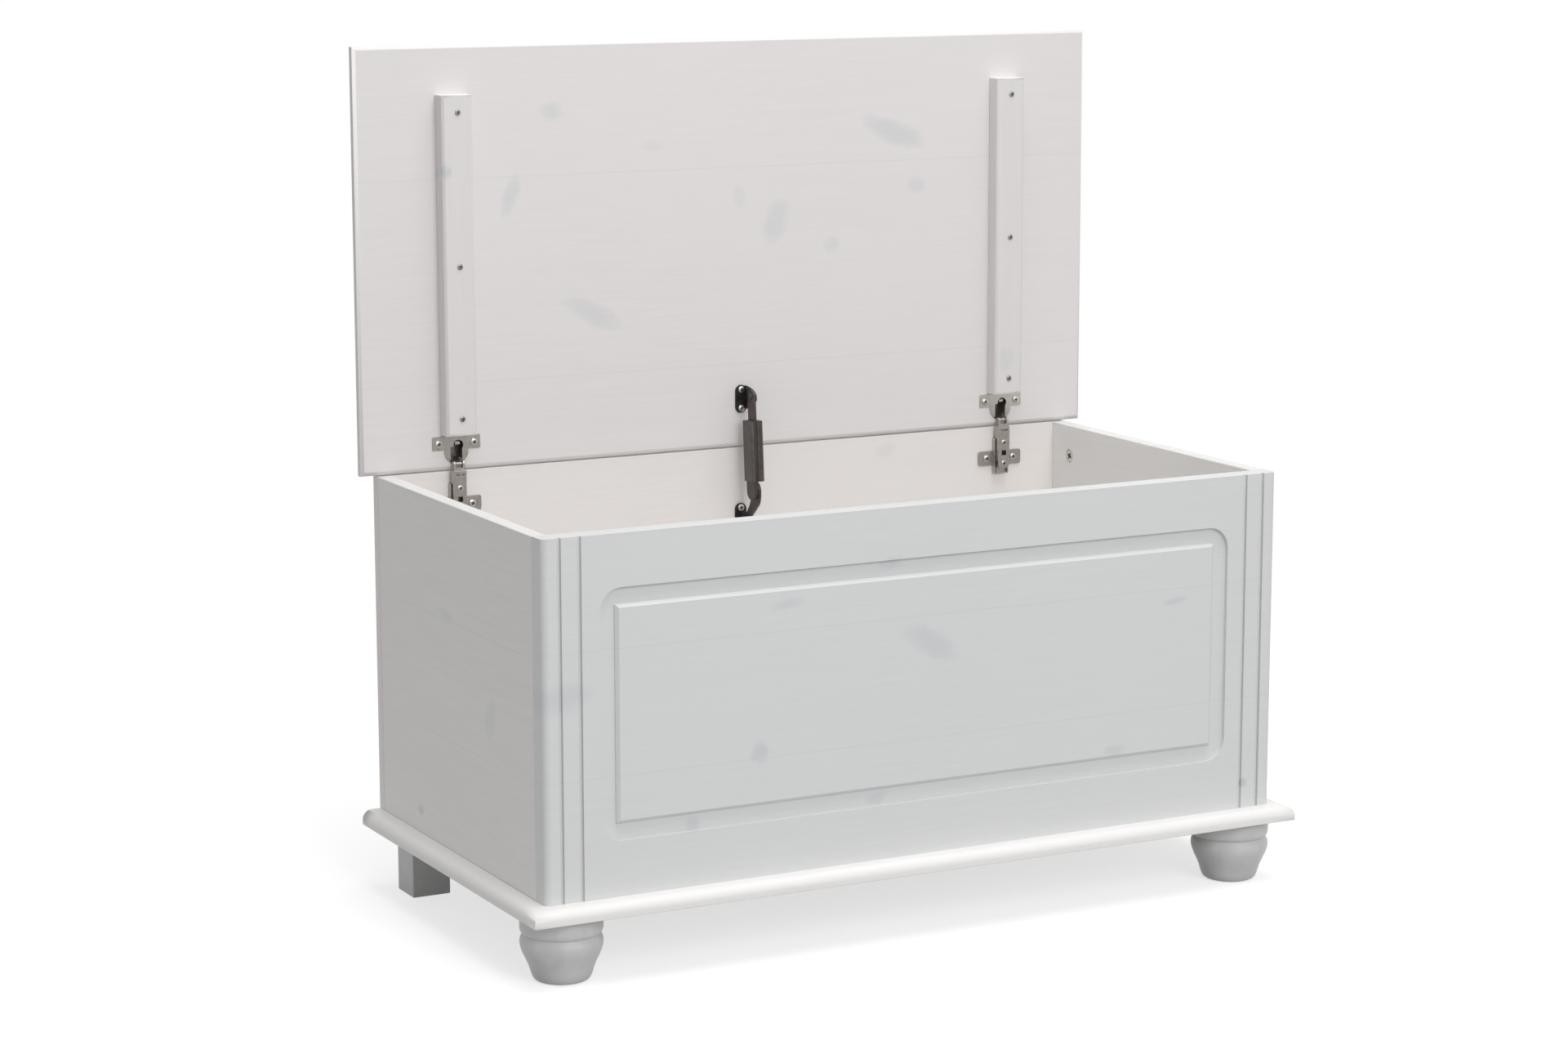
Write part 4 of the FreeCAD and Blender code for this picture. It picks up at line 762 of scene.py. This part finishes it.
def lower_bracket(black):
    """The bracket on the back panel with its short ear at the lower pivot."""
    low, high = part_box("stay_lower_bracket")
    pivot = mid("stay_lower_rivet")
    bm = bmesh.new()
    round_plate(bm, low, high, high.z - 0.029)
    ear = [(high.y - 0.001, low.z + 0.004, 0), (high.y - 0.001, high.z - 0.012, 0.002),
           (pivot.y - 0.004, pivot.z + 0.004, 0.004), (pivot.y - 0.004, pivot.z - 0.004, 0.004)]
    side_sheet(bm, mid("stay_lower_arm").x - 0.0038, ear, SHEET, 0.0004)
    keep(bm, "chest_bracket", black, "chest", ["stay_lower_bracket"])


def hung(bm):
    """Hangs a shape, drawn along its own upright axis, on the line from the upper pivot to the knee."""
    pivot = mid("stay_upper_rivet")
    lean = Matrix.Rotation(atan2(KNEE.y - pivot.y, pivot.z - KNEE.z), 4, "X")
    bmesh.ops.transform(bm, matrix=Matrix.Translation((0, pivot.y, pivot.z)) @ lean, verts=bm.verts)


def stay_arm(brown):
    """The flat arm with a round eye, hung from the upper pivot into the sleeve."""
    bm = bmesh.new()
    strip = [(-0.0075, -0.064, 0.001), (0.0075, -0.064, 0.001), (0.0075, 0.0075, 0.0074),
             (-0.0075, 0.0075, 0.0074)]
    side_sheet(bm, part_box("stay_upper_arm")[0].x, strip, 0.0024, 0.0004)
    hung(bm)
    keep(bm, "flat_arm", brown, "stay_upper_arm", ["stay_upper_arm"])


def stay_sleeve(moulded, ribs):
    """The sleeve: smooth on its left, a deep groove beside the front corner, fine ribs, open at the top."""
    low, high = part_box("stay_sleeve")
    left, right, middle = low.x - 0.001, high.x + 0.001, (low.x + high.x) / 2
    front, top, bottom = -0.0105, -0.0245, -0.0875
    bm = bmesh.new()
    slab(bm, (left, front, bottom), (right, -front, top))
    rounded(bm, [edge for edge in bm.edges if edge.calc_length() > 0.05], 0.0024, 5)
    rounded(bm, [edge for edge in bm.edges if edge.calc_face_angle(0) > radians(60)], 0.0004)
    tool = bmesh.new()
    slab(tool, (middle - 0.004, -0.008, top - 0.052), (middle + 0.004, 0.008, top + 0.002))
    slab(tool, (left + 0.0026, front - 0.001, bottom - 0.001), (left + 0.0070, front + 0.0013, top + 0.001),
         0.0002, 1)
    pitch = (right - left - 0.0100) / ribs
    for count in range(ribs):
        at = left + 0.0080 + pitch * count
        slab(tool, (at, front - 0.001, bottom - 0.001), (at + pitch * 0.4, front + 0.0004, top + 0.001))
    carved = carve(bm, tool)
    hung(carved)
    keep(carved, "ribbed_sleeve", moulded, "stay_sleeve", ["stay_sleeve"])


def stay_knuckle(brown):
    """The tongue under the sleeve with its knee pin and domed head."""
    low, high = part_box("stay_knuckle")
    pivot = mid("stay_upper_rivet")
    link = (Vector((0, pivot.y, pivot.z)) - Vector((0, KNEE.y, KNEE.z))).length
    bm = bmesh.new()
    tongue = [(-0.009, -link - 0.009, 0.0088), (0.009, -link - 0.009, 0.0088), (0.009, -0.0873, 0),
              (-0.009, -0.0873, 0)]
    side_sheet(bm, low.x - 0.0015, tongue, 0.0045, 0.0004)
    drum(bm, 0.002, high.x - low.x - 0.002, (mid("stay_knuckle").x, 0, -link), (1, 0, 0), 24)
    turned(bm, [(0, 0), (0.006, 0), (0.0058, 0.0006), (0.0044, 0.0011), (0, 0.0012)],
           (high.x - 0.0012, 0, -link), (1, 0, 0), 40)
    outward(bm)
    hung(bm)
    keep(bm, "knee_knuckle", brown, "stay_sleeve", ["stay_knuckle"])


def stay_lower_arm(brown):
    """The cranked arm: a wide round eye at the knee, a bend and a narrow foot at the lower pivot."""
    low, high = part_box("stay_lower_arm")
    foot, knee = mid("stay_lower_rivet"), KNEE
    shape = [(foot.y - 0.005, foot.z - 0.005, 0.0049), (foot.y + 0.005, foot.z - 0.005, 0.0049),
             (foot.y + 0.005, foot.z + 0.005, 0.003), (knee.y + 0.0115, knee.z - 0.0155, 0.005),
             (knee.y + 0.0095, knee.z - 0.0085, 0.003), (knee.y + 0.0095, knee.z + 0.0095, 0.0093),
             (knee.y - 0.0095, knee.z + 0.0095, 0.0093), (knee.y - 0.0087, knee.z - 0.0115, 0.006),
             (foot.y - 0.005, foot.z + 0.0045, 0.003)]
    bm = bmesh.new()
    side_sheet(bm, low.x, shape, high.x - low.x, 0.0004)
    keep(bm, "cranked_arm", brown, "stay_lower_arm", ["stay_lower_arm"])


def rivet(packed, name, body, brown):
    """A rivet with a domed head at each end."""
    low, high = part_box(packed)
    centre = (low + high) / 2
    bm = bmesh.new()
    drum(bm, 0.002, high.x - low.x - 0.001, centre, (1, 0, 0), 20)
    dome = [(0, 0), (0.0036, 0), (0.0034, 0.0006), (0.0024, 0.0011), (0, 0.0012)]
    turned(bm, dome, (low.x + 0.0012, centre.y, centre.z), (-1, 0, 0), 32)
    turned(bm, dome, (high.x - 0.0012, centre.y, centre.z), (1, 0, 0), 32)
    outward(bm)
    keep(bm, name, brown, body, [packed])


class TRUNK_OT_stay(bpy.types.Operator):
    """Press the stay's brackets and arms and mould its ribbed sleeve"""
    bl_idname = "trunk.stay"
    bl_label = "Lid stay"

    def execute(self, context):
        tones = context.scene.trunk_finish
        brown = coated("stay_brown", tones.stay_brown, 0.38)
        black = coated("stay_black", tones.stay_black, 0.34)
        # X span of the sleeve's groove, which its coating fills with painted shade
        groove = [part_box("stay_sleeve")[0].x + edge for edge in (0.0016, 0.0060)]
        moulded = coated("stay_sleeve_skin", tones.sleeve, 0.42, 900.0, groove)
        upper_bracket(black)
        lower_bracket(black)
        stay_arm(brown)
        stay_sleeve(moulded, context.scene.trunk_shape.sleeve_ribs)
        stay_knuckle(brown)
        stay_lower_arm(brown)
        rivet("stay_upper_rivet", "upper_rivet", "lid", brown)
        rivet("stay_lower_rivet", "lower_rivet", "chest", brown)
        return {"FINISHED"}


def screws(name, packed, body, material, head, points):
    """A set of cross-headed screws on one body that face the front, in place of the plain ones."""
    bm = bmesh.new()
    heads_on(bm, head, points, FACING_FRONT)
    for point in points:
        drum(bm, 0.0012, 0.006, Vector(point) - Vector(FACING_FRONT) * 0.003, FACING_FRONT, 12)
    keep(bm, name, material, body, [packed], 35.0)


class TRUNK_OT_fittings(bpy.types.Operator):
    """Finish the screws, cam discs, bolts and dowels"""
    bl_idname = "trunk.fittings"
    bl_label = "Screws and fittings"

    def execute(self, context):
        tones, shape = context.scene.trunk_finish, context.scene.trunk_shape
        zinc = plated("zinc", tones.zinc, 0.32)
        dull = plated("dull_zinc", shaded(tones.zinc, 0.5), 0.4)
        cast = plated("cast_zinc", shaded(tones.zinc, 1.1), 0.5)
        # a dark zinc for the cross recesses of the screws and cam locks: painted shade
        recess = plated("screw_recess", shaded(tones.zinc, 0.2), 0.6)
        beech = glazed_pine("beech", (0.55, 0.40, 0.26), "Y", "YZ", (), (), 13.0)
        pan = cross_headed(shape.screw_head, 0.0016, shape.screw_recess)
        small = cross_headed(0.0031, 0.0011, 0.0042)
        sunk = cross_headed(0.0030, 0.0012, 0.0036)
        hinges = (mid("left_hinge_plate").x, mid("right_hinge_plate").x)
        stay, strip = mid("stay_upper_screws").x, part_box("left_batten")[0]
        bracket_holes = (0.00475, 0.02425)
        sets = (
            ("plate_screws", "hinge_plate_screws", "chest", "screw_steel", zinc, pan,
             [(x + shift, BACK_FACE - SHEET, RIM - PLATE_DROP)
              for x in hinges for shift in (-WING_SCREW, WING_SCREW)]),
            ("cup_screws", "hinge_cup_screws", "lid", "screw_steel", zinc, pan,
             [(x + shift, LID_FACE - FLANGE, LID_FOOT + 0.0255)
              for x in hinges for shift in (-CUP_SCREW, CUP_SCREW)]),
            ("arm_screws", "hinge_arm_screws", "chest", "screw_steel", zinc, small,
             [(x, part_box("left_hinge_arm")[0].y, RIM - drop) for x in hinges for drop in (0.0165, 0.039)]),
            ("strip_screws", "batten_screws", "lid", "dark_screw", dull, sunk,
             [(x, strip.y, strip.z + rise) for x in hinges for rise in (0.0175, 0.169, 0.3205)]),
            ("lid_bracket_screws", "stay_upper_screws", "lid", "screw_steel", zinc, pan,
             [(stay, LID_FACE - SHEET, LID_FOOT + 0.0343 + rise) for rise in bracket_holes]),
            ("chest_bracket_screws", "stay_lower_screws", "chest", "screw_steel", zinc, pan,
             [(stay, BACK_FACE - SHEET, RIM - 0.0585 - drop) for drop in bracket_holes]))
        for name, packed, body, slot, plating, head, points in sets:
            screws(name, packed, body, (plating, recess), head, points)
        dress(zinc, "base_screws", "foot_bolts", "cam_bolts")
        cam = cross_headed(0.0074, 0.002, 0.0072)
        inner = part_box("right_side_panel")[0].x
        low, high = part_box("cam_discs")
        heights = (low.z + 0.0075, high.z - 0.0075)
        bm = bmesh.new()
        for side in (-1, 1):
            points = [(side * (inner + 0.0022), mid("cam_discs").y, height) for height in heights]
            heads_on(bm, cam, points, (-side, 0, 0))
        keep(bm, "cam_locks", (cast, recess), "chest", ["cam_discs"], 35.0)
        dress(beech, "front_dowels")
        return {"FINISHED"}


# Stage

def lamp(name, place, power):
    """A round white lamp that looks at the trunk."""
    data = bpy.data.lights.new(name, "AREA")
    data.shape = "DISK"
    data.size = LAMP_SIZE
    data.energy = power
    thing = placed(name, data)
    thing.location = place
    thing.rotation_euler = (Vector(LAMP_TARGET) - Vector(place)).to_track_quat("-Z", "Y").to_euler()


def seen_directly(tree):
    """1 for the rays by which the camera sees, also in a mirror or through glass, and 0 for the others."""
    path = node(tree, "LightPath").outputs
    direct = maths(tree, "MAXIMUM", path["Is Camera Ray"], path["Is Glossy Ray"])
    return maths(tree, "MAXIMUM", direct, path["Is Transmission Ray"])


class TRUNK_OT_stage(bpy.types.Operator):
    """Lay the pale floor, hang the soft lights and place the camera"""
    bl_idname = "trunk.stage"
    bl_label = "Stage"

    def execute(self, context):
        scene, setup = context.scene, context.scene.trunk_stage
        bm = bmesh.new()
        bmesh.ops.create_grid(bm, x_segments=4, y_segments=4, size=30.0)
        floor = placed("floor", stored(bm, "floor"))
        floor.location.z = -0.0002
        material, tree, shader = finish("floor_paper", 0.9)
        shader.inputs["Base Color"].default_value = tuple(setup.floor) + (1,)
        shader.inputs["Specular IOR Level"].default_value = 0.1
        seen = seen_directly(tree)
        shader.inputs["Emission Color"].default_value = (1, 1, 1, 1)
        tree.links.new(maths(tree, "MULTIPLY", seen, FLOOR_GLOW), shader.inputs["Emission Strength"])
        away = node(tree, "VectorMath", {"operation": "LENGTH"}, i0=own_place(tree)).outputs["Value"]
        white = node(tree, "Emission", Color=(1, 1, 1, 1), Strength=1.0)
        share = maths(tree, "MULTIPLY", seen, mapped(tree, away, *FLOOR_FADE))
        blend = node(tree, "MixShader", None, i0=share, i1=shader.outputs[0], i2=white.outputs[0])
        tree.links.new(blend.outputs[0], tree.nodes["Material Output"].inputs["Surface"])
        floor.data.materials.append(material)
        world = bpy.data.worlds.new("studio")
        world.use_nodes = True
        tree = world.node_tree
        tree.nodes.clear()
        seen = seen_directly(tree)
        strength = maths(tree, "ADD", maths(tree, "MULTIPLY", seen, 1.0 - setup.room), setup.room)
        sky = node(tree, "Background", Color=(1, 1, 1, 1), Strength=strength)
        out = node(tree, "OutputWorld", Surface=sky.outputs[0])
        out.is_active_output = True
        scene.world = world
        lamp("key", KEY_PLACE, setup.key_power)
        lamp("top", TOP_PLACE, setup.top_power)
        data = bpy.data.cameras.new("camera")
        data.sensor_width = 36.0
        data.lens = setup.lens
        data.dof.use_dof = False
        camera = placed("camera", data)
        camera.location = CAMERA_PLACE
        level = cos(CAMERA_PITCH)
        ahead = Vector((sin(CAMERA_YAW) * level, cos(CAMERA_YAW) * level, -sin(CAMERA_PITCH)))
        turn = ahead.to_track_quat("-Z", "Y").to_matrix() @ Matrix.Rotation(CAMERA_ROLL, 3, "Z")
        camera.rotation_euler = turn.to_euler()
        scene.camera = camera
        scene.view_settings.view_transform = "Standard"
        return {"FINISHED"}


class TRUNK_PT_panel(bpy.types.Panel):
    """Lists the trunk's pieces and settings"""
    bl_label = "Storage trunk"
    bl_space_type = "VIEW_3D"
    bl_region_type = "UI"
    bl_category = "Trunk"

    def draw(self, context):
        for step in STEPS:
            self.layout.operator(step.bl_idname)
        for group in (context.scene.trunk_finish, context.scene.trunk_shape, context.scene.trunk_stage):
            for key in group.bl_rna.properties.keys():
                if key not in ("rna_type", "name"):
                    self.layout.prop(group, key)


STEPS = (TRUNK_OT_boards, TRUNK_OT_feet, TRUNK_OT_hinges, TRUNK_OT_stay, TRUNK_OT_fittings, TRUNK_OT_stage)
GROUPS = {"trunk_finish": TrunkFinish, "trunk_shape": TrunkShape, "trunk_stage": TrunkStage}


def register():
    for thing in (*GROUPS.values(), *STEPS, TRUNK_PT_panel):
        bpy.utils.register_class(thing)
    for name, group in GROUPS.items():
        setattr(bpy.types.Scene, name, PointerProperty(type=group))


def unregister():
    for name in GROUPS:
        delattr(bpy.types.Scene, name)
    for thing in (TRUNK_PT_panel, *reversed(STEPS), *GROUPS.values()):
        bpy.utils.unregister_class(thing)


def main():
    """Builds every group of pieces and the stage."""
    register()
    for step in STEPS:
        group, name = step.bl_idname.split(".")
        getattr(getattr(bpy.ops, group), name)()


if __name__ == "__main__":
    main()
